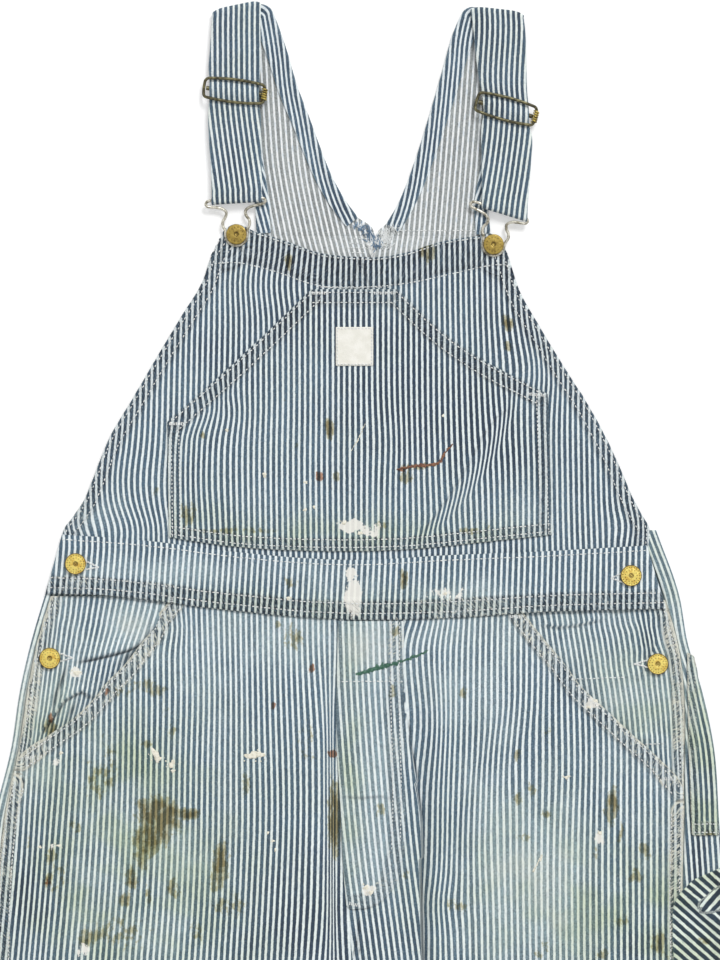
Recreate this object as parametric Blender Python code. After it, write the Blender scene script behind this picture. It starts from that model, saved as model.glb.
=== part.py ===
"""Hickory-stripe bib overalls, laid flat on a surface with the front up.

X runs across the garment, Y from the hems up to the shoulder folds, and Z up from the surface.
Every table is in millimetres. Its x is measured from the centre line and its y from the waist seam.
Left and right are as seen when looking at the front."""
import math
from collections import namedtuple

import bmesh
import bpy
import numpy as np
from mathutils import Matrix, Vector

MM = 0.001

# Cloth and layers
CLOTH = 1.2  # wall of one layer of cloth
GAP = 0.3  # clearance at seams and between layers
LAYER = CLOTH + GAP
SEAM_GAP = 0.6  # where two curved edges run side by side
THIGH_SHARE = 0.7  # share of a front leg's length below the upper thigh, which has wider rows
# Where the columns of each front leg lie, closest together beside the fly
LEFT_COLUMNS = np.array([0, 0.08, 0.17, 0.28, 0.40, 0.52, 0.64, 0.75, 0.83, 0.88, 0.92, 0.96, 1])
RIGHT_COLUMNS = np.array([0, 0.09, 0.18, 0.22, 0.26, 0.30, 0.35, 0.45, 0.56, 0.68, 0.80, 0.93, 1])
# Where the rows of each back leg lie, closest together at the hip
BACK_ROWS = np.concatenate((np.linspace(0, 0.32, 12), np.linspace(0.32, 1, 7)[1:]))
STRAP_CLOTH = 1.6  # a strap is made of doubled cloth
WAIST = 292.0  # waist seam above the middle of the garment
HEM = -1025.0
CROTCH = -276.0
WAIST_BACK = 56.0  # seam between the back legs and the high back
YOKE_SEAM = 271.0

# Hardware
WIRE = 1.1  # radius of the hook and slide wire
ROLLER = 1.6  # radius of the slide's bar
SIDE_BUTTON = 8.8  # radius
BIB_BUTTON = 8.0  # radius
HOOK_BAR_RISE = 25.5  # from the bib button's centre to the bar that the strap goes round
SLIDE_HALF = (22.0, 7.0)  # half length and half height of the slide, between wire centres
SLIDE_CORNER = 3.0
SLIDE_DIP = 2.4  # how far the slide's ends drop beside the strap, to the bar behind it

Fold = namedtuple("Fold", "name x0 y0 x1 y1 bow width height")
Puff = namedtuple("Puff", "name y inner outer rise fall height")
Leg = namedtuple("Leg", "name y inseam edge seam")
StrapRow = namedtuple("StrapRow", "name y x half slope z")
ButtonPlace = namedtuple("ButtonPlace", "name x y z radius")


# ---------------------------------------------------------------- outlines

# Back legs: inseam or centre-back edge, outer edge where the cloth turns, and the outseam it turns to.
LEFT_BACK = [
    Leg("waist", 56, -0.2, -215, -211),
    Leg("band", 8, -0.5, -230, -226),
    Leg("button", -26, -0.9, -240, -236),
    Leg("hip", -61, -1.2, -248, -243),
    Leg("seat", -101, -1.5, -254, -249),
    Leg("thigh", -156, -2.5, -267, -260),
    Leg("high thigh", -214, -4.0, -272, -265),
    Leg("crotch", -276, -6.4, -273, -266),
    Leg("mid thigh", -433, -13, -272, -264),
    Leg("knee", -652, -23, -269, -261),
    Leg("calf", -871, -31, -266, -258),
    Leg("hem", -1025, -36, -264, -257),
]
RIGHT_BACK = [
    Leg("waist", 56, 0.2, 216, 205),
    Leg("band", 8, -0.1, 233, 222),
    Leg("button", -26, -0.5, 239, 232),
    Leg("hip", -61, -0.8, 249.5, 236.5),
    Leg("seat", -101, -1.1, 258, 237),
    Leg("thigh", -156, -2.1, 262, 236.5),
    Leg("high thigh", -214, -3.5, 266, 235.5),
    Leg("crotch", -276, -5.6, 269, 236.5),
    Leg("mid thigh", -433, 1.5, 268, 237),
    Leg("knee", -652, 13, 265, 238),
    Leg("calf", -871, 26, 262, 239),
    Leg("hem", -1025, 35, 260, 239.5),
]

POCKET_OPENING_L = [(-248, -109), (-226, -93), (-207, -80), (-194, -67), (-183, -54), (-172, -43),
                    (-159, -26), (-152, -17), (-146, -4), (-137, 6)]
POCKET_OPENING_R = [(234.3, -130), (216, -109), (198, -93), (180, -76), (161, -58), (147, -39),
                    (132, -21), (119, -4)]

BIB_TOP = [(-100, 267), (-98.5, 274), (-92, 279), (-84, 277.5), (-76, 273.5), (-70, 272), (-58, 268),
           (-44, 263), (-29, 258), (-7, 255.5), (18, 255.5), (36, 259), (58, 266), (78, 269.5), (87, 270.5),
           (96, 272), (102.5, 268.5), (104.5, 262)]
BIB_LEFT = [(-217, 43), (-216, 56), (-209, 66), (-201, 78), (-195, 92), (-183, 122), (-166, 151),
            (-149, 180), (-131, 209), (-113, 239), (-108, 254), (-100, 267)]
BIB_RIGHT = [(210, 43), (210.5, 58), (204, 69.5), (199, 79), (186, 109), (168, 144), (149, 174),
             (131, 203), (116, 229), (107.5, 254), (104.5, 262)]
BIB_BOTTOM = [(-217, 43), (-117, 35), (-44, 27), (29, 27), (102, 30), (210, 43)]

POCKET_SLANT_L = [(-140, 135), (-87, 182), (-35, 231.5)]
POCKET_TOP = [(-35, 231.5), (27, 231.5)]
POCKET_SLANT_R = [(27, 231.5), (44, 215), (62, 199), (80, 186), (102, 173), (120, 164), (136.5, 155)]
POCKET_BOTTOM = [(-139, 51), (-88, 44), (-44, 41.6), (29, 42), (102, 49), (140, 53)]
LABEL = ((-17.5, 176.0), (9.5, 204.0))

BAND_TOP = [(-217, 53), (-161, 49), (-88, 40), (-44, 36), (-7, 34.5), (66, 38), (139, 41), (209, 45)]
BAND_BOTTOM = [(-229.5, 8), (-153, 3.5), (-117, -1.5), (-80, -5), (-44, -8), (-15, -9), (66, -7.5),
               (139, -3), (222.5, -1)]

# The front rise, from the waist down towards the crotch, under the fly
FRONT_RISE = [(-14, 6), (-12, -100), (-8.5, -200)]
FLY_CENTRE = 8.0
FLY_HALF = 27.0
FLY_LEFT = [(-10, -217.5), (-12.5, -185), (-14.5, -141), (-17, -97), (-16, -10)]
FLY_RIGHT = [(-6, -220.5), (9.5, -218), (25.5, -203), (32, -177), (33, -141), (31.5, -68), (32, -10)]

YOKE_L_NECK = [(10.5, 271), (9, 276), (-1.5, 284), (-11, 297), (-19.5, 312), (-29, 335), (-35.5, 353),
               (-45.5, 379), (-53.5, 406), (-59, 422), (-62, 430)]
YOKE_L_ARM = [(-75, 271), (-76, 293), (-80, 319), (-91, 363), (-102, 399), (-106, 418)]
YOKE_R_NECK = [(11.5, 271), (14, 275), (19, 279), (26.5, 291.5), (33.5, 307), (41, 328), (54, 370),
               (61.5, 396), (67.5, 417), (73, 430)]
YOKE_R_ARM = [(95, 271), (93.5, 293), (96.5, 312), (106, 363), (113, 399), (118, 421)]
ARM_STRIP_L = [(-76, 276), (-76.5, 293), (-79, 313), (-83, 332)]
ARM_STRIP_R = [(95, 275), (93.5, 293), (96.5, 312), (100.5, 332)]
NECK_STRIP = (10.5, 16.5)  # its width at its lower end and at the shoulder
ARM_STRIP = (10.0, 10.0)

HIGH_BACK_L = [(-213, 56.3), (-182, 111), (-142, 169), (-106, 224), (-76, 270.7)]
HIGH_BACK_R = [(207, 56.3), (175, 111), (135, 169), (109, 224), (95, 270.7)]

FACING_L_INNER = [(-233, -125), (-208, -104), (-182, -71), (-157, -42), (-135, -13), (-126, 8)]
FACING_R_INNER = [(217, -141), (193, -117), (160, -90), (131, -60), (113, -31), (98, 5)]

RULE_POCKET_INNER = [(242, -166), (240, -112), (239, -68), (238.6, -33)]
RULE_POCKET_OUTER = [(261.3, -166), (260, -128), (257.5, -101), (252.5, -77), (247, -54), (243.5, -36)]
HAMMER_LOOP_INNER = [(229, -258), (228, -236), (230, -214), (243, -199)]
HAMMER_LOOP_OUTER = [(262, -268), (265, -240), (266, -214), (263, -190)]

# ---------------------------------------------------------------- folds

LEFT_PUFF = [
    Puff("waist", -22, -30, -232, 25, 60, 0),
    Puff("hip", -61, -24, -240, 22, 60, 3.0),
    Puff("thigh", -156, -22, -256, 22, 55, 3.6),
    Puff("crotch", -276, -12, -262, 40, 60, 3.6),
    Puff("knee", -652, -26, -258, 60, 60, 3.2),
    Puff("hem", -1010, -38, -255, 60, 60, 0),
]
RIGHT_PUFF = [
    Puff("waist", -22, 36, 226, 25, 60, 0),
    Puff("hip", -61, 41, 226, 26, 60, 3.4),
    Puff("thigh", -156, 45, 225, 22, 50, 5.6),
    Puff("high thigh", -228, 47, 225, 20, 50, 6.4),
    Puff("crotch", -276, 44, 226, 24, 60, 6.0),
    Puff("mid thigh", -433, 12, 232, 60, 60, 4.0),
    Puff("knee", -652, 16, 236, 60, 60, 3.4),
    Puff("hem", -1010, 38, 238, 60, 60, 0),
]
LEFT_LEG_FOLDS = [
    Fold("pocket mouth", -152, -22, -222, -88, 6, 13, 2.0),
    Fold("thigh drape", -190, -190, -130, -330, 8, 30, 2.5),
    Fold("crotch drag", -30, -300, -130, -380, -10, 26, 3.0),
    Fold("knee crease", -60, -560, -210, -610, 12, 24, 3.0),
    Fold("knee crease low", -80, -660, -230, -690, -10, 22, 2.5),
    Fold("calf drape", -150, -740, -120, -930, 10, 28, 2.5),
]
RIGHT_LEG_FOLDS = [
    Fold("pocket mouth", 140, -36, 218, -116, -5, 13, 1.5),
    Fold("diagonal ridge", 118, -66, 72, -200, -8, 16, 2.0),
    Fold("thigh drape", 190, -180, 170, -330, 6, 28, 2.0),
    Fold("crotch drag", 24, -300, 120, -390, 10, 26, 3.0),
    Fold("knee crease", 60, -540, 210, -600, -12, 24, 3.0),
    Fold("knee crease low", 70, -650, 220, -700, 10, 22, 2.5),
    Fold("calf drape", 150, -740, 120, -940, -10, 28, 2.5),
]
BIB_FOLDS = [
    Fold("pocket slant", 116, 150, 46, 60, 10, 36, 1.6),
    Fold("left side", -170, 90, -100, 230, 6, 38, 1.4),
    Fold("right side", 160, 90, 96, 220, -6, 38, 1.4),
    Fold("centre", -10, 90, -6, 200, 4, 40, 0.9),
]
LEFT_FACING_FOLDS = [
    Fold("sagging edge", -166, -22, -204, -38, 5, 9, 2.2),
    Fold("lower sag", -206, -50, -214, -72, 2, 9, 1.6),
]
RIGHT_FACING_FOLDS = [
    Fold("upper sag", 160, -20, 196, -14, 3, 11, 1.8),
    Fold("lower pull", 204, -92, 224, -84, 2, 9, 1.4),
]
LOOP_FOLDS = [
    Fold("overlap", 234, -210, 262, -232, 3, 9, 3.0),
    Fold("return", 246, -216, 258, -198, -2, 8, 2.2),
]

# Straps, from the shoulder fold down to the hook; z is the middle of the doubled cloth.
LEFT_STRAP = [
    StrapRow("shoulder fold", 436.5, -90, 17.5, 0.21, 5.0),
    StrapRow("upper run", 421, -90.5, 17.8, 0.10, 5.4),
    StrapRow("mid run", 404, -91, 18.3, 0.02, 5.6),
    StrapRow("above slide", 391, -91.5, 18.6, -0.08, 5.4),
    StrapRow("under top wire", 382.5, -91.6, 17.9, -0.12, 5.5),
    StrapRow("over bar", 375.9, -91.6, 17.9, -0.12, 7.0),
    StrapRow("under lower wire", 369.3, -91.6, 17.9, -0.12, 5.75),
    StrapRow("below slide", 361, -91.5, 18.8, -0.06, 5.8),
    StrapRow("lower run", 341, -91, 18.8, 0.0, 6.2),
    StrapRow("slack", 318, -90, 18.3, 0.04, 6.6),
    StrapRow("above hook", 304, -89.5, 18.0, 0.07, 7.6),
]
RIGHT_STRAP = [
    StrapRow("shoulder fold", 433.5, 99.5, 18.6, -0.11, 5.0),
    StrapRow("upper run", 421, 100.5, 18.8, -0.08, 5.4),
    StrapRow("mid run", 399, 102, 18.4, -0.12, 5.6),
    StrapRow("above slide", 379, 103.6, 17.8, -0.24, 5.4),
    StrapRow("under top wire", 369.6, 106.2, 16.3, -0.27, 5.5),
    StrapRow("over bar", 362.8, 106.3, 16.3, -0.27, 7.0),
    StrapRow("under lower wire", 356, 106.6, 16.3, -0.27, 5.75),
    StrapRow("below slide", 348, 107.3, 17.6, -0.2, 5.8),
    StrapRow("lower run", 326, 107.2, 16.9, -0.12, 6.2),
    StrapRow("slack", 306, 106.5, 16.4, -0.17, 6.8),
    StrapRow("above hook", 296, 105.7, 16.2, -0.2, 7.6),
]
STRAP_HOOK_Z = 6.05
STRAP_RETURN_Z = 3.8
STRAP_TURN = 2.25  # from the hook bar's centre to the middle of the strap round it

SIDE_BUTTONS = [
    ButtonPlace("side_button_l1", -208, 32, 6.0, SIDE_BUTTON),
    ButtonPlace("side_button_l2", -226, -36.5, 3.0, SIDE_BUTTON),
    ButtonPlace("side_button_r1", 198, 23.5, 6.0, SIDE_BUTTON),
    ButtonPlace("side_button_r2", 216, -41, 3.0, SIDE_BUTTON),
]
BIB_BUTTONS = [
    ButtonPlace("bib_button_l", -90.5, 272, 3.0, BIB_BUTTON),
    ButtonPlace("bib_button_r", 97.3, 264.3, 3.0, BIB_BUTTON),
]


# ---------------------------------------------------------------- shape helpers

def smooth(t):
    """0 to 1 as t goes from 0 to 1, flat at both ends."""
    t = np.clip(t, 0.0, 1.0)
    return t * t * (3.0 - 2.0 * t)


def read(rows, key, y):
    """A column of a table at height y, smooth between its rows."""
    heights = np.array([row.y for row in rows], float)
    values = np.array([getattr(row, key) for row in rows], float)
    order = np.argsort(heights)
    heights, values = heights[order], values[order]
    slopes = np.gradient(values, heights)
    k = np.clip(np.searchsorted(heights, y, side="right") - 1, 0, len(heights) - 2)
    step = heights[k + 1] - heights[k]
    t = np.clip((y - heights[k]) / step, 0.0, 1.0)
    return hermite(values[k], values[k + 1], slopes[k] * step, slopes[k + 1] * step, t)


def hermite(a, b, slope_a, slope_b, t):
    t2, t3 = t * t, t * t * t
    return (2 * t3 - 3 * t2 + 1) * a + (t3 - 2 * t2 + t) * slope_a + (3 * t2 - 2 * t3) * b + (t3 - t2) * slope_b


def follow(points, cells):
    """Points along a smooth line through the given ones: at even spaces, or at given shares of its length."""
    pts = np.array(points, float)
    steps = np.linalg.norm(np.diff(pts, axis=0), axis=1)
    along = np.concatenate(([0.0], np.cumsum(steps)))
    slopes = np.diff(pts, axis=0) / steps[:, None]
    tangents = np.vstack((slopes[:1], slopes[-1:])) if len(pts) == 2 else np.empty_like(pts)
    if len(pts) > 2:
        share = (steps[1:] / (steps[:-1] + steps[1:]))[:, None]
        tangents[0], tangents[-1] = slopes[0], slopes[-1]
        tangents[1:-1] = share * slopes[:-1] + (1 - share) * slopes[1:]
    shares = np.linspace(0.0, 1.0, cells + 1) if np.isscalar(cells) else cells
    at = shares * along[-1]
    k = np.clip(np.searchsorted(along, at, side="right") - 1, 0, len(steps) - 1)
    step = steps[k][:, None]
    t = (at[:, None] - along[k][:, None]) / step
    return hermite(pts[k], pts[k + 1], tangents[k] * step, tangents[k + 1] * step, t)


def patch(bottom, top, left, right, columns_at=None, rows_at=None):
    """A four-sided sheet of points between four edge lines, rows from bottom to top."""
    u = np.linspace(0.0, 1.0, len(bottom)) if columns_at is None else columns_at
    v = np.linspace(0.0, 1.0, len(left)) if rows_at is None else rows_at
    u, v = u[None, :, None], v[:, None, None]
    rows = (1 - u) * left[:, None] + u * right[:, None]
    columns = (1 - v) * bottom[None] + v * top[None]
    corners = ((1 - u) * (1 - v) * bottom[0] + u * (1 - v) * bottom[-1]
               + (1 - u) * v * top[0] + u * v * top[-1])
    return rows + columns - corners


def fold_height(folds, x, y):
    """Summed height of soft ridges, each along its own bowed line and dying out at its ends."""
    total = np.zeros_like(x)
    for fold in folds:
        run = np.array([fold.x1 - fold.x0, fold.y1 - fold.y0], float)
        length = np.linalg.norm(run)
        run /= length
        along = (x - fold.x0) * run[0] + (y - fold.y0) * run[1]
        t = along / length
        inside = np.clip(t, 0.0, 1.0)
        away = (y - fold.y0) * run[0] - (x - fold.x0) * run[1] - 4 * fold.bow * inside * (1 - inside)
        past = np.maximum(np.abs(along - inside * length), 0.0)
        distance = np.hypot(away, past) / fold.width
        total += fold.height * (1 - smooth(distance)) * (0.25 + 0.75 * np.sin(math.pi * inside))
    return total


def puff_height(rows, x, y):
    """The slack of a leg: up from its inner line, level, and down again to its outer line."""
    inner, outer = read(rows, "inner", y), read(rows, "outer", y)
    side = np.sign(outer - inner)
    rise = smooth((x - inner) * side / read(rows, "rise", y))
    fall = smooth((outer - x) * side / read(rows, "fall", y))
    return np.maximum(read(rows, "height", y), 0.0) * rise * fall


# ---------------------------------------------------------------- object helpers

def finish(name, colour, roughness, metallic):
    material = bpy.data.materials.new(name)
    material.use_nodes = True
    shader = material.node_tree.nodes["Principled BSDF"]
    shader.inputs["Base Color"].default_value = (*colour, 1.0)
    shader.inputs["Roughness"].default_value = roughness
    shader.inputs["Metallic"].default_value = metallic
    material.diffuse_color = (*colour, 1.0)
    return material


def add(name, data, material):
    piece = bpy.data.objects.new(name, data)
    bpy.context.scene.collection.objects.link(piece)
    data.materials.append(material)
    return piece


def place(point):
    """A table point, in metres in the garment's own frame."""
    x, y, z = point
    return Vector((x * MM, (y + WAIST) * MM, z * MM))


def cloth(name, points, material, wall=CLOTH, offset=1.0):
    """A sheet of cloth: a grid laid on rows of points, thickened away from them."""
    rows, columns = points.shape[0] - 1, points.shape[1] - 1
    bm = bmesh.new()
    bmesh.ops.create_grid(bm, x_segments=columns, y_segments=rows, size=1.0)
    for vert in bm.verts:
        column = round((vert.co.x + 1) / 2 * columns)
        row = round((vert.co.y + 1) / 2 * rows)
        vert.co = place(points[row, column])
    mesh = bpy.data.meshes.new(name)
    bm.to_mesh(mesh)
    bm.free()
    mesh.shade_smooth()
    piece = add(name, mesh, material)
    thicken = piece.modifiers.new("Wall", "SOLIDIFY")
    thicken.thickness = wall * MM
    thicken.offset = offset
    return piece


def raised(flat, height):
    """Rows of x, y points with a height for each."""
    level = np.broadcast_to(height, flat.shape[:2])
    return np.concatenate((flat, level[..., None]), axis=2)


def wire(name, points, radius, material, closed):
    """A bent wire through points given in millimetres in its own frame."""
    curve = bpy.data.curves.new(name, "CURVE")
    curve.dimensions = "3D"
    curve.bevel_depth = radius * MM
    curve.bevel_resolution = 2
    curve.use_fill_caps = not closed
    spline = curve.splines.new("POLY")
    spline.points.add(len(points) - 1)
    for spot, point in zip(spline.points, points):
        spot.co = (*(Vector(point) * MM), 1.0)
    spline.use_cyclic_u = closed
    return add(name, curve, material)


def turned(name, profile, place_at, material, steps=16):
    """A round piece spun from (radius, height) points, which start and end on its axis."""
    bm = bmesh.new()
    verts = [bm.verts.new((radius * MM, 0.0, height * MM)) for radius, height in profile]
    edges = [bm.edges.new(pair) for pair in zip(verts, verts[1:])]
    bmesh.ops.spin(bm, geom=verts + edges, cent=(0, 0, 0), axis=(0, 0, 1), angle=math.tau,
                   steps=steps, use_merge=True)
    bmesh.ops.remove_doubles(bm, verts=bm.verts, dist=0.01 * MM)
    bmesh.ops.recalc_face_normals(bm, faces=bm.faces)
    mesh = bpy.data.meshes.new(name)
    bm.to_mesh(mesh)
    bm.free()
    mesh.shade_smooth()
    mesh.set_sharp_from_angle(angle=math.radians(40))
    piece = add(name, mesh, material)
    piece.location = place(place_at)
    return piece


# ---------------------------------------------------------------- backs

def row_heights(back):
    """Heights of a back leg's rows, from the hem up."""
    return (back[0].y + BACK_ROWS * (back[-1].y - back[0].y))[::-1]


def back_leg(name, rows, side, material):
    """A back leg lies flat, turns over at the side edge and comes back to the outseam."""
    turn = LAYER / 2
    middle = CLOTH / 2
    arc = np.linspace(-90, 90, 5)
    sections = []
    for y in row_heights(rows):
        inner, edge, seam = (float(read(rows, key, y)) for key in ("inseam", "edge", "seam"))
        centre = edge - side * (turn + middle)
        section = [(x, y, middle) for x in np.linspace(inner, centre, 3)[:-1]]
        section += [(centre + side * turn * math.cos(math.radians(a)), y,
                     middle + turn + turn * math.sin(math.radians(a))) for a in arc]
        section.append((seam, y, middle + LAYER))
        sections.append(section)
    return cloth(name, np.array(sections), material, offset=0.0)


def high_back(name, outer, side, material):
    """The flat back panel between the waist and the shoulder-blade seam."""
    across, along = 2, 5
    neck = YOKE_L_NECK if side < 0 else YOKE_R_NECK
    inner = [(side * GAP / 2, WAIST_BACK + GAP), (neck[0][0], YOKE_SEAM - GAP)]
    edges = (follow(outer, along), follow(inner, along))
    left, right = edges if side < 0 else edges[::-1]
    flat = patch(follow([left[0], right[0]], across), follow([left[-1], right[-1]], across), left, right)
    return cloth(name, raised(flat, 0.0), material)


def yoke(name, arm, neck, side, material):
    across, along = 2, 12
    edges = (follow(arm, along), follow(neck, along))
    left, right = edges if side < 0 else edges[::-1]
    flat = patch(follow([left[0], right[0]], across), follow([left[-1], right[-1]], across), left, right)
    return cloth(name, raised(flat, 0.0), material)


def edge_strip(name, edge, widths, inward, material):
    """A narrow strip sewn along an edge, on the inside of the yoke, from one width to another."""
    line = follow(edge, 10)
    heading = np.gradient(line, axis=0)
    heading /= np.linalg.norm(heading, axis=1)[:, None]
    across = np.stack((-heading[:, 1], heading[:, 0]), axis=1) * inward
    inner = line + across * np.linspace(*widths, len(line))[:, None]
    flat = np.stack((line, inner), axis=1)
    if inward > 0:
        flat = flat[:, ::-1]
    return cloth(name, raised(flat, LAYER), material)


# ---------------------------------------------------------------- front

def leg_level(y):
    """Height of a front leg's underside: over the pocket facing near the waist, lower below it."""
    return LAYER * (1.0 + smooth((y + 190) / 48))


def outseam(back, side, low, high, count):
    """Points just inboard of the outseam, for the front pieces that run beside it."""
    rows = row_heights(back)
    seam = read(back, "seam", rows)
    return [(float(np.interp(y, rows, seam)) - side * SEAM_GAP, y) for y in np.linspace(low, high, count + 1)]


def front_leg(name, back, opening, puff, folds, side, material):
    """From the pocket opening and outseam to the front rise and inseam."""
    across = LEFT_COLUMNS if side < 0 else RIGHT_COLUMNS
    along = np.concatenate((np.linspace(0, THIGH_SHARE, 16)[:-1], np.linspace(THIGH_SHARE, 1, 20)))
    tip_y = opening[0][1]
    seam = outseam(back, side, HEM, tip_y - 20, 18)
    outer = follow(seam + opening, along)
    rise = [(x + side * GAP / 2, y) for x, y in FRONT_RISE]
    inseam = [(row.inseam, row.y) for row in reversed(back) if row.y <= CROTCH]
    inner = follow(inseam + rise[::-1], along)
    left, right = (outer, inner) if side < 0 else (inner, outer)
    flat = patch(follow([left[0], right[0]], across), follow([left[-1], right[-1]], across), left, right,
                 across, along)
    x, y = flat[..., 0], flat[..., 1]
    beside_fly = np.where(y > CROTCH, (np.abs(x - FLY_CENTRE) - FLY_HALF) / 12, 1.0)
    clear = smooth((-14 - y) / 30) * smooth(beside_fly)
    height = leg_level(y) + puff_height(puff, x, y) + fold_height(folds, x, y) * clear
    return cloth(name, raised(flat, height), material)


def bib_level(x, y):
    """Height of the bib's underside: on the back at the top, over more layers at the waist."""
    base = LAYER * (1.0 + smooth((215 - y) / 130))
    return base + fold_height(BIB_FOLDS, x, y) * smooth((y - 50) / 45) * smooth((250 - y) / 40)


def bib(material):
    across, along = 16, 12
    flat = patch(follow(BIB_BOTTOM, across), follow(BIB_TOP, across),
                 follow(BIB_LEFT, along), follow(BIB_RIGHT, along))
    return cloth("bib", raised(flat, bib_level(flat[..., 0], flat[..., 1])), material)


def bib_pocket(material):
    """Six-sided: two slants either side of a short top, straight sides and a bowed bottom."""
    slant_cells, top_cells, along = 5, 3, 8
    top = np.concatenate((follow(POCKET_SLANT_L, slant_cells), follow(POCKET_TOP, top_cells)[1:],
                          follow(POCKET_SLANT_R, slant_cells)[1:]))
    bottom = follow(POCKET_BOTTOM, len(top) - 1)
    flat = patch(bottom, top, follow([bottom[0], top[0]], along), follow([bottom[-1], top[-1]], along))
    height = bib_level(flat[..., 0], flat[..., 1]) + LAYER
    return cloth("bib_pocket", raised(flat, height), material)


def label(material):
    (x0, y0), (x1, y1) = LABEL
    left, right = follow([(x0, y0), (x0, y1)], 3), follow([(x1, y0), (x1, y1)], 3)
    flat = patch(follow([left[0], right[0]], 3), follow([left[-1], right[-1]], 3), left, right)
    height = bib_level(flat[..., 0], flat[..., 1]) + 2 * LAYER
    return cloth("bib_label", raised(flat, height), material, wall=0.8)


def waistband(material):
    across, along = 20, 2
    bottom, top = follow(BAND_BOTTOM, across), follow(BAND_TOP, across)
    flat = patch(bottom, top, follow([bottom[0], top[0]], along), follow([bottom[-1], top[-1]], along))
    return cloth("waistband", raised(flat, 3 * LAYER), material)


def facing(name, back, inner, folds, side, material):
    """The piece behind a hip-pocket opening; its slack sags in folds where it shows."""
    across, along = 8, 9
    outer = outseam(back, side, inner[0][1], inner[-1][1], along)
    edges = (np.array(outer), follow(inner, along))
    left, right = edges if side < 0 else edges[::-1]
    flat = patch(follow([left[0], right[0]], across), follow([left[-1], right[-1]], across), left, right)
    x, y = flat[..., 0], flat[..., 1]
    return cloth(name, raised(flat, LAYER + fold_height(folds, x, y)), material)


def fly(material):
    across, along = 3, 9
    left, right = follow(FLY_LEFT, along), follow(FLY_RIGHT, along)
    flat = patch(follow([left[0], right[0]], across), follow([left[-1], right[-1]], across), left, right)
    return cloth("fly_front", raised(flat, leg_level(flat[..., 1]) + LAYER), material)


def side_panel(name, inner, outer, folds, material):
    """The rule pocket or the hammer loop, on the back leg's turned-over edge."""
    across, along = 4, 6
    left, right = follow(inner, along), follow(outer, along)
    flat = patch(follow([left[0], right[0]], across), follow([left[-1], right[-1]], across), left, right)
    x, y = flat[..., 0], flat[..., 1]
    return cloth(name, raised(flat, 2 * LAYER + fold_height(folds, x, y)), material)


# ---------------------------------------------------------------- straps and hardware

def strap(name, rows, bar, bar_slope, material):
    """From the seam behind the shoulder, over the fold, down the front, round the hook bar and back."""
    first, last = rows[0], rows[-1]
    middle = STRAP_CLOTH / 2
    fold_turn = (first.z - middle) / 2
    path = [(first.y - 6, middle, first.x, first.half, first.slope)]
    for angle in np.linspace(-90, 90, 7):
        y = first.y + fold_turn * math.cos(math.radians(angle))
        z = middle + fold_turn + fold_turn * math.sin(math.radians(angle))
        path.append((y, z, first.x, first.half, first.slope))
    path += [(row.y, row.z, row.x, row.half, row.slope) for row in rows[1:]]
    bar_x, bar_y = bar
    for angle in np.linspace(75, -90, 7):
        y = bar_y - STRAP_TURN * math.cos(math.radians(angle))
        z = STRAP_HOOK_Z + STRAP_TURN * math.sin(math.radians(angle))
        path.append((y, z, bar_x, last.half, bar_slope))
    slide = next(row for row in rows if row.name == "over bar")
    for t in (0.3, 0.65, 1.0):
        y = bar_y + t * (slide.y - 6 - bar_y)
        x = bar_x + t * (slide.x - bar_x)
        path.append((y, STRAP_RETURN_Z, x, last.half, bar_slope + t * (slide.slope - bar_slope)))
    across = np.linspace(-1.0, 1.0, 3)
    points = [[(x + u * half, y + u * half * slope, z) for u in across] for y, z, x, half, slope in path]
    return cloth(name, np.array(points), material, wall=STRAP_CLOTH, offset=0.0)


def round_corners(half_length, half_height, corner):
    """A rectangle with round corners, as points in its own plane."""
    points = []
    for quarter, (sx, sy) in enumerate(((1, 1), (-1, 1), (-1, -1), (1, -1))):
        for step in range(4):
            angle = math.radians(90 * quarter + 30 * step)
            points.append((sx * (half_length - corner) + corner * math.cos(angle),
                           sy * (half_height - corner) + corner * math.sin(angle)))
    return points


def slide(end, row, material):
    """A wire slide over the strap, and the bar behind the strap that carries it."""
    half_length, half_height = SLIDE_HALF
    tilt = math.atan(row.slope)
    over = row.z + 1.0
    loop = [(x, y, over - SLIDE_DIP * float(smooth((abs(x) - half_length + SLIDE_CORNER) / SLIDE_CORNER)))
            for x, y in round_corners(half_length, half_height, SLIDE_CORNER)]
    centre = (row.x, row.y, 0.0)
    frame = wire(f"slide_{end}", loop, WIRE, material, closed=True)
    reach = half_length - WIRE - GAP
    under = row.z - STRAP_CLOTH / 2 - GAP - ROLLER
    bar = wire(f"roller_{end}", [(-reach, 0, under), (reach, 0, under)], ROLLER, material, closed=False)
    for piece in (frame, bar):
        piece.location = place(centre)
        piece.rotation_euler = (0.0, 0.0, tilt)


HOOK_HALF = [(0, 25.5), (12, 25.5), (21, 25.5), (23.5, 24.3), (24.2, 22.2), (22.8, 20), (19.5, 19.2),
             (14, 18.8), (11, 16.5), (9.8, 13), (9.9, 9), (9.4, 5), (8.2, 2.4), (7.9, -1.5), (6.4, -5.2),
             (3.4, -7.6)]


def hook(name, button, tilt, material):
    """One bent wire: the bar in the strap's end, two ears, and the eye round the bib button."""
    outline = HOOK_HALF + [(0, -8.4)] + [(-x, y) for x, y in reversed(HOOK_HALF[1:])]
    eye_z = 4.2
    points = [(x, y, eye_z + (STRAP_HOOK_Z - eye_z) * float(smooth((y - 15) / 10))) for x, y in outline]
    piece = wire(name, points, WIRE, material, closed=True)
    piece.location = place((button.x, button.y, 0.0))
    piece.rotation_euler = (0.0, 0.0, tilt)
    return piece


def bar_centre(button, tilt):
    """Where the middle of a hook's bar lies."""
    offset = Matrix.Rotation(tilt, 2) @ Vector((0.0, HOOK_BAR_RISE))
    return button.x + offset.x, button.y + offset.y


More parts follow.
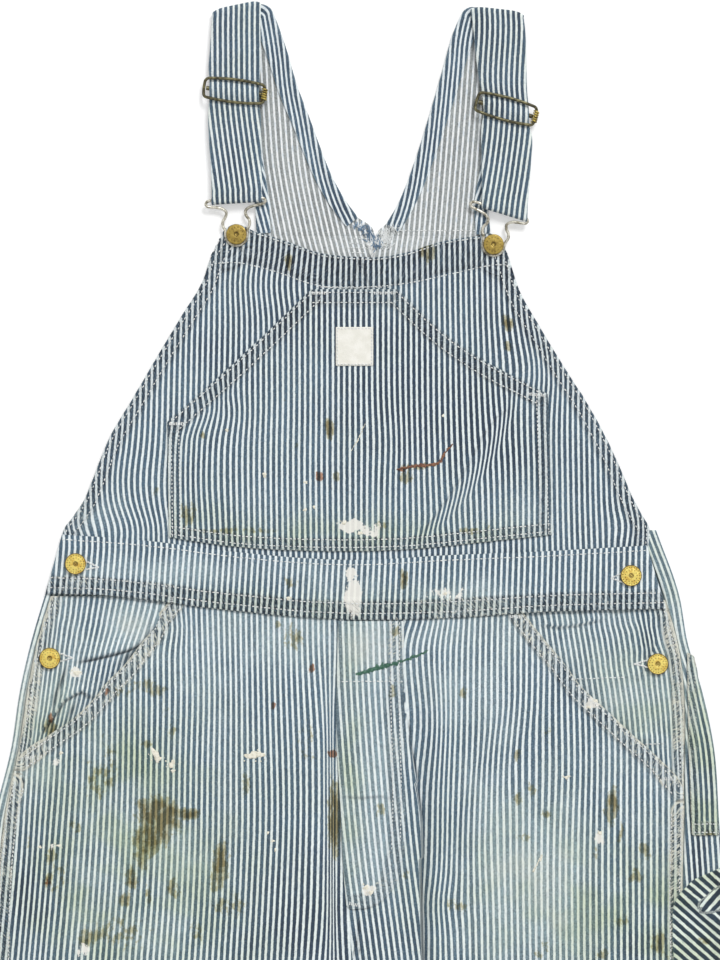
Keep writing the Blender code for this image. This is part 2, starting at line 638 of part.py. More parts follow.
def side_button(spot, material):
    """A stamped tack button: a low collar, a domed head, a rolled rim and a pierced centre."""
    r = spot.radius
    profile = [(0, 0), (0.55 * r, 0), (0.55 * r, 0.9), (0.93 * r, 1.2), (r, 2.0), (0.93 * r, 2.7),
               (0.72 * r, 2.5), (0.30 * r, 2.9), (0.16 * r, 2.2), (0, 2.2)]
    return turned(spot.name, profile, (spot.x, spot.y, spot.z), material)


def bib_button(spot, material):
    """A tack button on a tall neck, which leaves room for the hook's wire under its head."""
    r = spot.radius
    profile = [(0, 0), (0.42 * r, 0), (0.42 * r, 2.6), (0.95 * r, 2.8), (r, 3.6), (0.93 * r, 4.4),
               (0.35 * r, 4.9), (0.16 * r, 4.3), (0, 4.3)]
    return turned(spot.name, profile, (spot.x, spot.y, spot.z), material)


# ---------------------------------------------------------------- assembly

def build():
    for piece in list(bpy.data.objects):
        bpy.data.objects.remove(piece)

    stripe = finish("hickory_cloth", (0.30, 0.37, 0.42), 0.9, 0.0)
    reverse = finish("reverse_cloth", (0.50, 0.54, 0.56), 0.9, 0.0)
    tab = finish("label_cloth", (0.80, 0.76, 0.66), 0.85, 0.0)
    brass = finish("stamped_brass", (0.62, 0.43, 0.10), 0.4, 1.0)
    dark_wire = finish("slide_wire", (0.20, 0.17, 0.11), 0.45, 1.0)
    bright_wire = finish("hook_wire", (0.42, 0.38, 0.30), 0.4, 1.0)

    back_leg("back_leg_l", LEFT_BACK, -1, stripe)
    back_leg("back_leg_r", RIGHT_BACK, 1, stripe)
    high_back("back_rise_l", HIGH_BACK_L, -1, reverse)
    high_back("back_rise_r", HIGH_BACK_R, 1, reverse)
    yoke("back_yoke_l", YOKE_L_ARM, YOKE_L_NECK, -1, reverse)
    yoke("back_yoke_r", YOKE_R_ARM, YOKE_R_NECK, 1, reverse)
    edge_strip("neck_strip_l", YOKE_L_NECK[2:], NECK_STRIP, 1, stripe)
    edge_strip("neck_strip_r", YOKE_R_NECK[2:], NECK_STRIP, -1, stripe)
    edge_strip("arm_strip_l", ARM_STRIP_L, ARM_STRIP, -1, stripe)
    edge_strip("arm_strip_r", ARM_STRIP_R, ARM_STRIP, 1, stripe)

    facing("side_facing_l", LEFT_BACK, FACING_L_INNER, LEFT_FACING_FOLDS, -1, stripe)
    facing("side_facing_r", RIGHT_BACK, FACING_R_INNER, RIGHT_FACING_FOLDS, 1, stripe)
    front_leg("front_leg_l", LEFT_BACK, POCKET_OPENING_L, LEFT_PUFF, LEFT_LEG_FOLDS, -1, stripe)
    front_leg("front_leg_r", RIGHT_BACK, POCKET_OPENING_R, RIGHT_PUFF, RIGHT_LEG_FOLDS, 1, stripe)
    fly(stripe)
    bib(stripe)
    bib_pocket(stripe)
    label(tab)
    waistband(stripe)
    side_panel("rule_pocket", RULE_POCKET_INNER, RULE_POCKET_OUTER, [], stripe)
    side_panel("hammer_loop", HAMMER_LOOP_INNER, HAMMER_LOOP_OUTER, LOOP_FOLDS, stripe)

    for end, rows, button, tilt in (("l", LEFT_STRAP, BIB_BUTTONS[0], 0.06),
                                    ("r", RIGHT_STRAP, BIB_BUTTONS[1], -0.30)):
        bar = bar_centre(button, tilt)
        strap(f"strap_{end}", rows, bar, math.tan(tilt), stripe)
        slide(end, next(row for row in rows if row.name == "over bar"), dark_wire)
        hook(f"hook_{end}", button, tilt, bright_wire)
        bib_button(button, brass)
    for spot in SIDE_BUTTONS:
        side_button(spot, brass)


build()
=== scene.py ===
"""Hickory-stripe bib overalls, laid flat with the front up: worn striped cloth, its seams, stains and metal.

X runs across the garment, Y from the hems up to the shoulder folds, and Z up from the surface.
Every table is in millimetres. Its x is measured from the centre line and its y from the waist seam.
Left and right are as seen when looking at the front."""
import math
from collections import namedtuple

import bmesh
import bpy
import numpy as np
from mathutils import Matrix, Vector
from mathutils.bvhtree import BVHTree


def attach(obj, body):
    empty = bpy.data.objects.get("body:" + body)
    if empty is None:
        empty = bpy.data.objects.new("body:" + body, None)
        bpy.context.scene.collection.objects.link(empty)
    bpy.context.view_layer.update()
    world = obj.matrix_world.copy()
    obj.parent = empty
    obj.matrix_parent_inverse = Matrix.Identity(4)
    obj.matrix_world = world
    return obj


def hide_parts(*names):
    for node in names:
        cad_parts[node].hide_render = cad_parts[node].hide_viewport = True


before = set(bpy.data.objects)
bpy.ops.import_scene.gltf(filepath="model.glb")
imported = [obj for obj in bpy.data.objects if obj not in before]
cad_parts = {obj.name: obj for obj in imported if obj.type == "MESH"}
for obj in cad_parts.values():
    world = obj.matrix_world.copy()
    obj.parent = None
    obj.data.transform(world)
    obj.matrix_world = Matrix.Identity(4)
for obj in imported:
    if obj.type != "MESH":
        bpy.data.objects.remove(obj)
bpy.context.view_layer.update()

MM = 0.001

# ---------------------------------------------------------------- sizes

CLOTH = 1.2  # wall of one layer of cloth
GAP = 0.3  # clearance between layers
LAYER = CLOTH + GAP
SEAM_GAP = 0.6  # where two curved edges run side by side
STRAP_CLOTH = 1.6  # a strap is made of doubled cloth
LABEL_TAPE = 0.8
WAIST = 292.0  # waist seam above the middle of the garment
HEM = -1025.0
CROTCH = -276.0
WAIST_BACK = 56.0  # seam between the back legs and the high back
YOKE_SEAM = 271.0
SHOWN_SHARE = 0.67  # share of a front leg's length below the close weave of its mesh
# Mesh spacing on small pieces, on the bib and across the legs, on ordinary cloth, and low on the legs
CLOSE, ACROSS, FINE, COARSE = 1.6, 2.2, 2.0, 6.5
LEG_WIDTH = 250.0  # about how wide a front leg is, for counting its columns
BACK_WIDTH = 230.0
POCKET_HEIGHT = 170.0

THREAD = 0.95  # width of the sewing thread
STITCH = 2.9  # from one stitch to the next
TACK_STITCH = 1.3
TACK_SPREAD = 0.7  # a bartack is three close rows
STITCH_WANDER = 0.1
THREAD_LIFT = 0.1  # thread's middle above the cloth
# A buttonhole's stitches: from one to the next, half their length, and half their thickness
SLIT_STITCH, SLIT_REACH, SLIT_THREAD = 0.9, 0.75, 0.55
HEM_FOLD = 0.45  # how much a turned hem stands above the single cloth beside it
ROLLED_EDGE = 0.35  # how far the last bit of an edge rolls down
PUCKER_HEIGHT = 0.35
PUCKER_SLANT = 0.7  # how far puckers slant along a hem for each step away from its edge
EDGE_WEAR = 0.7  # added fading right at an edge
# Height and size of the slow waves in a piece
LEG_WAVES, BIB_WAVES, BAND_WAVES, FLY_WAVES = (0.5, 70.0), (0.3, 60.0), (0.25, 26.0), (0.15, 24.0)
END_FALL = 16.0  # over this run the band's ends come down into the side seams
BAND_LAYERS, BAND_END = 3, 1.1  # layers that the band lies on, and how many fewer at its ends
BIB_CORNER = 204.0  # half width of the bib where its lower corners come down into the side seams
# Pairs of heights: from the first to the second, a piece climbs over one layer more
BIB_CLIMB, CORNER_CLIMB, LEG_CLIMB = (215, 85), (95, 65), (-190, -142)
# Pairs of heights from which folds grow in, clear of the seams beyond
BIB_FOOT, BIB_HEAD, LEG_HEAD = (50, 95), (250, 210), (-14, -44)
WAVES_IN = 25.0  # a leg's waves grow in over this distance from its edges
FLY_CLEAR = 12.0  # and its folds over this distance from the fly
LAP_FADE = 8.0  # beyond its ends a lap dies out over this distance
LAP_SHIFT = (4, 28)  # distances behind a lap's edge between which its shift of the stripes dies out
HEM_STEP = 1.8  # a turned hem's thickness ends over this distance
RIDGE = 0.9  # half width of a rubbed ridge along a hem
SEAM_TOP = 20.0  # a front leg's outseam ends this far below its pocket opening
LAP_ENDS = 10.0  # over this run a lap grows in from each of its ends
LAP_DROP = 1.4  # distance in which a lap's edge falls away
GATHER_REACH = 26.0  # beyond a fold's width, its pull on the stripes dies out over this distance
ROLL = 1.5  # width of the rim that rolls down at an edge
PUCKER_SIZE = 8.0
STRAP_WIDTH = 37.0  # about how wide a strap is, for counting its columns
STRAP_STEP = 1.5
STRAP_HIDDEN = 6.0  # how far a strap's end runs back under its shoulder fold
STRAP_RETURN_END = 6.0  # and how far below the slide's bar its other end stops
STRAP_DROOP = 0.5  # how far a strap's edges lie below its middle
STRAP_DRAW = 2.6  # how far a strap's edges draw back at the shoulder fold
SLIDE_OVER = 1.0  # from the middle of a strap up to the wire over it
WIRE = 1.1
ROLLER = 1.6
SIDE_BUTTON = 7.7
BIB_BUTTON = 7.4
HOOK_BAR_RISE = 25.5
SLIDE_HALF = (22.0, 7.0)
SLIDE_CORNER = 3.0
SLIDE_DIP = 2.4
STAMP = 0.36  # half width of a stamped mark
COIL, COIL_HALF, COIL_WIRE, COIL_TURNS = 1.75, 4.2, 0.62, 5  # the bar's wire wound round the slide's end

# Width of one dark and one light stripe together, which differs a little with how each piece lies
STRAP_STRIPE = 3.86
BIB_STRIPE = 3.98
POCKET_STRIPE = 4.07
POCKET_START = 0.35  # the pocket's stripes don't meet the bib's
BAND_STRIPE = 4.13
FACING_STRIPE = 4.07
LEFT_LEG_STRIPE = 4.06
RIGHT_LEG_STRIPE = 4.30
FLY_STRIPE = 4.35
YOKE_STRIPE = 3.78
STRIP_STRIPE = 3.6
LOOP_STRIPE = 5.2

Fold = namedtuple("Fold", "name x0 y0 x1 y1 bow left right height gather")
Puff = namedtuple("Puff", "name y inner outer rise fall height")
Leg = namedtuple("Leg", "name y inseam edge seam")
Drift = namedtuple("Drift", "y left middle right")
Tug = namedtuple("Tug", "name x y wide tall shift")
Spot = namedtuple("Spot", "piece x y wide tall strength turn", defaults=(0,))
Fleck = namedtuple("Fleck", "piece x y wide tall turn", defaults=(0,))
Hem = namedtuple("Hem", "line width pucker first second rub", defaults=(2.0, 9.0, 0.0))
# dark and spread: strength and width of the shade painted along the foot of a lap's drop
Lap = namedtuple("Lap", "line height back shift dark spread")
Sway = namedtuple("Sway", "y shift")
Slit = namedtuple("Slit", "piece tip upper lower")
Fray = namedtuple("Fray", "x y wide tall count blue")
Ring = namedtuple("Ring", "share count round")
StrapRow = namedtuple("StrapRow", "name y x half slope z")
Knob = namedtuple("Knob", "name x y z radius")


def table(kind, *rows):
    """Records of one kind, from their rows."""
    return [kind(*row) for row in rows]


def by_piece(kind, groups):
    """Records of one kind whose rows are grouped under the piece they are on."""
    return [kind(piece, *row) for piece, rows in groups for row in rows]


# ---------------------------------------------------------------- outlines

LEFT_BACK = table(Leg,
    ("waist", 56, -0.2, -215, -211), ("band", 8, -0.5, -230, -226), ("button", -26, -0.9, -240, -236),
    ("hip", -61, -1.2, -248, -243), ("seat", -101, -1.5, -254, -249), ("thigh", -156, -2.5, -267, -260),
    ("high thigh", -214, -4.0, -272, -265), ("crotch", -276, -6.4, -273, -266),
    ("mid thigh", -433, -13, -272, -264), ("knee", -652, -23, -269, -261), ("calf", -871, -31, -266, -258),
    ("hem", -1025, -36, -264, -257))
RIGHT_BACK = table(Leg,
    ("waist", 56, 0.2, 216, 205), ("band", 8, -0.1, 233, 222), ("button", -26, -0.5, 239, 232),
    ("hip", -61, -0.8, 249.5, 236.5), ("seat", -101, -1.1, 258, 237), ("thigh", -156, -2.1, 262, 236.5),
    ("high thigh", -214, -3.5, 266, 235.5), ("crotch", -276, -5.6, 269, 236.5),
    ("mid thigh", -433, 1.5, 268, 237), ("knee", -652, 13, 265, 238), ("calf", -871, 26, 262, 239),
    ("hem", -1025, 35, 260, 239.5))

POCKET_OPENING_L = [(-248, -109), (-226, -93), (-207, -80), (-194, -67), (-183, -54), (-172, -43),
                    (-159, -26), (-152, -17), (-146, -4), (-137, 6)]
POCKET_OPENING_R = [(234.3, -130), (216, -109), (198, -93), (180, -76), (161, -58), (147, -39),
                    (132, -21), (119, -4)]

BIB_TOP = [(-100, 267), (-98.5, 274), (-92, 279), (-84, 277.5), (-76, 273.5), (-70, 272), (-58, 268),
           (-44, 263), (-29, 258), (-7, 255.5), (18, 255.5), (36, 259), (58, 266), (78, 269.5), (87, 270.5),
           (96, 272), (102.5, 268.5), (104.5, 262)]
BIB_LEFT = [(-217, 43), (-216, 56), (-209, 66), (-201, 78), (-195, 92), (-183, 122), (-166, 151),
            (-149, 180), (-131, 209), (-113, 239), (-108, 254), (-100, 267)]
BIB_RIGHT = [(210, 43), (210.5, 58), (204, 69.5), (199, 79), (186, 109), (168, 144), (149, 174),
             (131, 203), (116, 229), (107.5, 254), (104.5, 262)]
BIB_BOTTOM = [(-217, 43), (-117, 35), (-44, 27), (29, 27), (102, 30), (210, 43)]
BIB_HEM_ROW = [(-112, 249), (-101, 251), (-88, 251), (-72, 247.5), (-55, 242.5), (-40, 237), (-29, 234.3),
               (18, 234.3), (36, 236.5), (58, 241), (80, 246), (102, 249.7), (110, 249)]

POCKET_SLANT_L = [(-140, 135), (-87, 182), (-35, 231.5)]
POCKET_TOP = [(-35, 231.5), (27, 231.5)]
POCKET_SLANT_R = [(27, 231.5), (44, 215), (62, 199), (80, 186), (102, 173), (120, 164), (136.5, 155)]
POCKET_BOTTOM = [(-139, 51), (-88, 44), (-44, 41.6), (29, 42), (102, 49), (140, 53)]
LABEL = ((-17.5, 176.0), (9.5, 204.0))

BAND_TOP = [(-217, 53), (-161, 49), (-88, 40), (-44, 36), (-7, 34.5), (66, 38), (139, 41), (209, 45)]
BAND_BOTTOM = [(-229, 10), (-190, 9), (-153, 5.5), (-117, 0.5), (-80, -3.5), (-44, -7), (-15, -8.5),
               (66, -7.5), (139, -3), (222.5, -1)]

FRONT_RISE = [(-14, 6), (-12, -100), (-8.5, -200)]
FLY_CENTRE = 8.0
FLY_HALF = 27.0
FLY_WALL = 0.6  # the fly is pressed flat into the leg
FLY_LEFT = [(-10, -217.5), (-12.5, -185), (-14.5, -141), (-17, -97), (-16, -10)]
FLY_RIGHT = [(-6, -220.5), (9.5, -218), (25.5, -203), (32, -177), (33, -141), (31.5, -68), (32, -10)]

YOKE_L_NECK = [(10.5, 271), (9, 276), (-1.5, 284), (-11, 297), (-19.5, 312), (-29, 335), (-35.5, 353),
               (-45.5, 379), (-53.5, 406), (-59, 422), (-62, 430)]
YOKE_L_ARM = [(-75, 271), (-76, 293), (-80, 319), (-91, 363), (-102, 399), (-106, 418)]
YOKE_R_NECK = [(11.5, 271), (14, 275), (19, 279), (26.5, 291.5), (33.5, 307), (41, 328), (54, 370),
               (61.5, 396), (67.5, 417), (73, 430)]
YOKE_R_ARM = [(95, 271), (93.5, 293), (96.5, 312), (106, 363), (113, 399), (118, 421)]
# Where a neck strip turns in under the strap's fold
NECK_END_L = [(-64.5, 435.5), (-69.5, 439), (-76, 439.5)]
NECK_END_R = [(75.5, 434.5), (80, 437.2), (86, 437)]
ARM_STRIP_L = [(-75.3, 272.5), (-76.5, 293), (-79, 313), (-83, 332)]
ARM_STRIP_R = [(95, 272.5), (93.5, 293), (96.5, 312), (100.5, 332)]
ARM_STRIP = (10.0, 10.0)  # width at its lower end and at its upper end
NECK_STRIP = (10.5, 16.5)
STRIP_LEAN = 0.2  # a strip's stripes run a little askew to it

HIGH_BACK_L = [(-213, 56.3), (-182, 111), (-142, 169), (-106, 224), (-76, 270.7)]
HIGH_BACK_R = [(207, 56.3), (175, 111), (135, 169), (109, 224), (95, 270.7)]

FACING_L_INNER = [(-233, -125), (-208, -104), (-182, -71), (-157, -42), (-135, -13), (-126, 8)]
FACING_R_INNER = [(217, -141), (193, -117), (160, -90), (131, -60), (113, -31), (98, 5)]

RULE_POCKET_INNER = [(242, -166), (240, -112), (239, -68), (238.6, -33)]
RULE_POCKET_OUTER = [(261.3, -166), (260, -128), (257.5, -101), (252.5, -77), (247, -54), (243.5, -36)]
HAMMER_LOOP_INNER = [(229, -258), (228, -236), (230, -214), (243, -199)]
HAMMER_LOOP_OUTER = [(262, -268), (265, -240), (266, -214), (263, -190)]

LEFT_SWAY = table(Sway, (0, 0), (14, 0), (60, 1.5), (80, 2.2), (110, 5), (150, 9), (172, 11), (400, 11))
RIGHT_SWAY = table(Sway,
    (0, 0), (14, 0), (30, -1.5), (60, -5), (90, -7), (120, -10), (150, -13.5), (400, -15))
LEFT_STRAP = table(StrapRow,
    ("shoulder fold", 436.5, -90, 17.5, 0.21, 5.0), ("upper run", 421, -90.5, 17.8, 0.1, 5.4),
    ("mid run", 404, -91, 18.3, 0.02, 5.6), ("above slide", 391, -91.5, 18.6, -0.08, 5.4),
    ("under top wire", 382.5, -91.6, 17.9, -0.12, 5.5), ("over bar", 375.9, -91.6, 17.9, -0.12, 7.0),
    ("under lower wire", 369.3, -91.6, 17.9, -0.12, 5.75), ("below slide", 361, -91.5, 18.8, -0.06, 5.8),
    ("lower run", 341, -91, 18.8, 0.0, 6.2), ("slack", 318, -90, 18.3, 0.04, 6.6),
    ("above hook", 304, -89.5, 18.0, 0.07, 7.6))
RIGHT_STRAP = table(StrapRow,
    ("shoulder fold", 433.5, 100, 19.0, -0.11, 5.0), ("upper run", 421, 101.4, 18.8, -0.08, 5.4),
    ("mid run", 399, 102.8, 18.2, -0.12, 5.6), ("above slide", 379, 104.4, 17.2, -0.24, 5.4),
    ("under top wire", 369.6, 105.8, 16.7, -0.27, 5.5), ("over bar", 362.8, 106.3, 16.5, -0.27, 7.0),
    ("under lower wire", 356, 106.6, 16.3, -0.27, 5.75), ("below slide", 348, 106.8, 18.0, -0.2, 5.8),
    ("lower run", 326, 106.5, 17.8, -0.12, 6.2), ("slack", 306, 105.9, 17.0, -0.17, 6.8),
    ("above hook", 296, 105.4, 16.4, -0.2, 7.6))
STRAP_HOOK_Z = 6.05
HOOK_EYE_Z = 4.2
STRAP_RETURN_Z = 3.8
STRAP_TURN = 2.25  # from the hook bar's centre to the middle of the strap round it
LEFT_HOOK_TILT = 0.06
RIGHT_HOOK_TILT = -0.30
LEFT_HOOK_SKEW = 0.03  # how far a hook's bar sits to the side of its eye, over its distance from it
RIGHT_HOOK_SKEW = -0.13

SIDE_KNOBS = table(Knob,
    ("side_button_l1", -207, 31.7, 6.0, SIDE_BUTTON), ("side_button_l2", -226, -37.2, 3.0, SIDE_BUTTON),
    ("side_button_r1", 197.3, 23.1, 6.0, SIDE_BUTTON), ("side_button_r2", 217, -41.3, 3.0, SIDE_BUTTON))
BIB_KNOBS = table(Knob,
    ("bib_button_l", -90, 271.6, 3.0, BIB_BUTTON), ("bib_button_r", 97.3, 264.3, 3.0, BIB_BUTTON))

# ---------------------------------------------------------------- how the cloth lies

LEFT_PUFF = table(Puff,
    ("waist", -22, -30, -232, 25, 60, 0), ("hip", -61, -24, -240, 22, 60, 3.0),
    ("thigh", -156, -22, -256, 18, 55, 3.6), ("crotch", -276, -12, -262, 40, 60, 3.6),
    ("knee", -652, -26, -258, 60, 60, 3.2), ("hem", -1010, -38, -255, 60, 60, 0))
RIGHT_PUFF = table(Puff,
    ("waist", -22, 36, 226, 25, 60, 0), ("hip", -61, 39, 226, 18, 60, 3.4),
    ("thigh", -156, 43, 225, 11, 50, 5.6), ("high thigh", -228, 45, 225, 9, 50, 6.4),
    ("crotch", -276, 44, 226, 12, 60, 6.0), ("mid thigh", -433, 12, 232, 60, 60, 4.0),
    ("knee", -652, 16, 236, 60, 60, 3.4), ("hem", -1010, 38, 238, 60, 60, 0))
LEFT_LEG_FOLDS = table(Fold,
    ("pocket mouth", -152, -22, -222, -88, 6, 13, 13, 2.0, 0),
    ("thigh drape", -190, -190, -130, -330, 8, 30, 30, 2.5, 0),
    ("side drape", -236, -140, -243, -300, 4, 12, 12, 1.4, 2),
    ("fly pull", -22, -60, -20, -260, 0, 7, 4, 0.8, 7),
    ("crotch drag", -30, -300, -130, -380, -10, 26, 26, 3.0, 0),
    ("knee crease", -60, -560, -210, -610, 12, 24, 24, 3.0, 0),
    ("knee crease low", -80, -660, -230, -690, -10, 22, 22, 2.5, 0),
    ("calf drape", -150, -740, -120, -930, 10, 28, 28, 2.5, 0))
RIGHT_LEG_FOLDS = table(Fold,
    ("pocket mouth", 140, -36, 218, -116, -5, 13, 13, 1.5, 0),
    ("diagonal ridge", 118, -66, 72, -200, -8, 10, 18, 2.2, 3),
    ("fly slack", 58, -40, 54, -258, 3, 9, 9, 0.9, 3),
    ("thigh drape", 190, -180, 170, -330, 6, 28, 28, 2.0, 0),
    ("crotch drag", 24, -300, 120, -390, 10, 26, 26, 3.0, 0),
    ("knee crease", 60, -540, 210, -600, -12, 24, 24, 3.0, 0),
    ("knee crease low", 70, -650, 220, -700, 10, 22, 22, 2.5, 0),
    ("calf drape", 150, -740, 120, -940, -10, 28, 28, 2.5, 0))
BIB_FOLDS = table(Fold,
    ("pocket slant", 116, 150, 46, 60, 10, 36, 36, 1.6, 0),
    ("left side", -170, 90, -100, 230, 6, 38, 38, 1.4, 0),
    ("right side", 160, 90, 96, 220, -6, 38, 38, 1.4, 0), ("centre", -10, 90, -6, 200, 4, 40, 40, 0.9, 0))
POCKET_FOLDS = table(Fold,
    ("drag line", 112, 152, 42, 50, 9, 6, 5, 0.9, 4.5),
    ("corner drag", -92, 166, -126, 124, 3, 5, 5, 0.5, 2))
BIB_SIDE_FOLDS = table(Fold, ("right bib pull", 118, 212, 130, 168, 4, 7, 5, 0.8, 1))
LEFT_FACING_FOLDS = table(Fold,
    ("button pull", -196, -8, -214, -34, 2, 6, 4, 0.8, 0),
    ("side ruck", -222, -8, -229, -34, 1, 3, 3, 1.1, 2),
    ("low roll", -200, -76, -226, -108, 2, 7, 7, 0.8, 0))
RIGHT_FACING_FOLDS = table(Fold,
    ("lower pull", 190, -98, 224, -98, 2, 6, 6, 1.4, 0),
    ("button pull", 178, -58, 208, -46, 2, 6, 5, 1.0, 0),
    ("side slack", 206, -12, 211, -34, 1, 5, 6, 1.0, 3))
# Where cloth laps over itself: raised on the left of the line as it runs, with a sharp drop on its right
# Shade is painted as a dark line along the foot of each drop, as strong as the lap's dark and as wide as its
# spread.
LEFT_FACING_LAPS = [
    Lap([(-140.8, -0.6), (-145, -6.9), (-149.1, -13.7), (-155.4, -20.4), (-161.6, -26.7), (-168.9, -30.4),
         (-178.3, -33), (-188.8, -35.6), (-199.2, -37.7), (-207, -39.4)][::-1], 2.4, 15, 0.6, 1.0, 1.4),
    # This one has no height: it is only a line of painted shade in the gap under the lap above.
    Lap([(-147, -10), (-154, -22), (-164, -33), (-176, -41)][::-1], 0, 1, 0, 0.9, 3.4),
    Lap([(-211.7, -41.3), (-215.9, -52.8), (-220, -62.2), (-223.2, -76.7)], 1.2, 7, 0, 0.8, 1.6),
    Lap([(-234.7, -93.4), (-227.3, -84.1), (-220, -73.7), (-215.9, -67.5), (-206.5, -62.3), (-202.3, -60.7),
         (-198.2, -64.2), (-191.9, -65.4)], 1.2, 5, -0.8, 0.8, 1.3),
    # This one has no height: it is only a line of painted shade under the fold.
    Lap([(-205.4, -68.4), (-209, -75), (-212.7, -83)], 0, 1, 0, 0.8, 2.0),
]
RIGHT_FACING_LAPS = [
    Lap([(130, -12), (143, -14), (158, -12.5), (178, -8)], 1.0, 9, 1.2, 0.45, 1.3),
    Lap([(217, -24), (211, -38), (205, -55)], 0.8, 6, 0.6, 0.35, 1.3),
]
POCKET_LAPS = [
    Lap([(43, 52), (62, 78), (78, 104), (88, 124), (98, 138), (111, 148)], 0.5, 6, 0, 0.42, 0.9),
]
# The hammer loop doubles back: above this height on its return fold, its stripes lean by this much
LOOP_RETURN_RISE, LOOP_RETURN_LEAN = 0.8, -0.75
LOOP_FOLDS = table(Fold,
    ("overlap", 234, -210, 262, -232, 3, 9, 4, 3.0, 0), ("return", 247, -220, 268, -203, -2, 11, 9, 2.6, 0))

# How far the stripes of a piece stray sideways at its left edge, its middle and its right edge
LEFT_LEG_DRIFT = table(Drift,
    (10, 0, 0, 0), (-112, -1, 0.5, 0.5), (-170, -6, -0.5, 0), (-214, -10, -2.5, 0), (-258, -14, -5.5, 0),
    (-433, -24, -12, -2), (-652, -26, -16, -8), (-1025, -24, -18, -14))
RIGHT_LEG_DRIFT = table(Drift,
    (10, 0, 0, 0), (-60, -2, -1, -2), (-150, -1, -3, 0), (-258, -3, -3, 0), (-433, 4, 2, 3),
    (-652, 14, 8, 6), (-1025, 30, 16, 6))
FLY_DRIFT = table(Drift,
    (0, -2, -2, -2), (-60, 0, 0, 0), (-130, 5, 5, 5), (-190, 11, 11, 11), (-220, 15, 15, 15),
    (-258, 20, 20, 20), (-400, 34, 34, 34))
# The right leg laps over itself beside the fly; on the fly's side of this line its stripes follow the fly's
FLY_LAP = Lap([(47, -300), (46, -258), (44.5, -215), (45, -180), (44, -150), (40, -120), (36, -98),
               (34, -80)], 0.45, 9, 0, 0.9, 1.0)
FLY_LAPS = [Lap([(-14, -137), (2, -138), (16, -137), (28, -141)], 0.4, 5, 0, 0.55, 0.9),
            Lap([(6, -112), (20, -121)], 0.3, 4, 0, 0.3, 0.8),
            Lap([(12, -98), (27, -105)], 0.3, 4, 0, 0.25, 0.8)]
RISE_LAPS = [Lap([(-2, -221), (0.5, -234), (-1.5, -246), (-5, -258)], 0.3, 4, 0, 0.9, 0.9),
             Lap([(-5, -237), (-1, -246), (4, -258)], 0.3, 4, 0, 0.8, 0.9)]
FLY_LAP_ENDS = (-330, -292)
LEFT_FACING_DRIFT = table(Drift,
    (10, 0, 1, 5), (-12, -1, -3.5, -2), (-38, -2, -9, -13), (-70, -4, -12, -20), (-125, -8, -20, -34))
RIGHT_FACING_DRIFT = table(Drift, (6, -3, -5, -9), (-30, 2, 0, -2), (-70, 6, 6, 3), (-140, 10, 10, 5))
BIB_DRIFT = table(Drift,
    (270, 1, 0, -1), (209, -1, 0, 0), (165, -2.5, 0, 1.5), (119, -4.5, 0, 2), (91, -6.5, 0, 2.5),
    (73, -6.5, 0, 3), (43, -3, 0, 5))
POCKET_DRIFT = table(Drift, (232, 0, 0, 0), (140, 0.5, 0, 0), (110, -0.5, 0, 1), (42, -0.5, 0.5, 0.5))
BAND_DRIFT = table(Drift, (43, -3, 0, 5), (20, -5, -1.2, 5), (-8, -7, -2.6, 5))
YOKE_L_DRIFT = table(Drift,
    (428, 0, 0, 0), (355, 4, 4, 4), (320, 7, 7, 7.5), (300, 10, 10.5, 11), (271, 15, 17, 18))
YOKE_R_DRIFT = table(Drift,
    (427, 0, 0, 0), (355, -5, -5, -5), (300, -9.5, -9.5, -9.5), (271, -12, -12, -12))
RISE_L_DRIFT = table(Drift, (271, 15, 17, 18), (250, 20, 22, 23), (56, 20, 22, 23))
RISE_R_DRIFT = table(Drift, (271, -12, -12, -12), (250, -15, -15, -15), (56, -15, -15, -15))
BIB_TUGS = table(Tug,
    ("left side sway", -168, 92, 26, 26, -2), ("right side sway", 124, 172, 22, 26, 4.5),
    ("hem lean", -62, 236, 34, 18, -3))
CORNER_TUGS = table(Tug,
    ("left corner fan", -168, 58, 26, 15, 3.6), ("left corner edge", -206, 60, 12, 12, -3.4),
    ("right corner fan", 196, 60, 14, 13, 3))
POCKET_TUGS = table(Tug,
    ("upper left kink", -108, 142, 26, 14, 3), ("lower left sway", -112, 96, 18, 30, -2),
    ("label wave", 20, 120, 16, 24, 1.5))
LEFT_LEG_TUGS = table(Tug,
    ("pocket end", -138, -14, 12, 14, 3), ("thigh sway", -120, -60, 30, 40, 1.5),
    ("low sway", -60, -150, 34, 50, 1.5))
RIGHT_LEG_TUGS = table(Tug,
    ("waist gather", 42, -4, 26, 17, 6), ("fly sway", 44, -84, 22, 34, 4),
    ("fly wave", 60, -215, 16, 16, -2), ("ridge sway", 100, -110, 24, 36, -1.5),
    ("ridge foot", 76, -160, 22, 36, -1), ("pocket sway", 150, -120, 24, 40, 1.5))
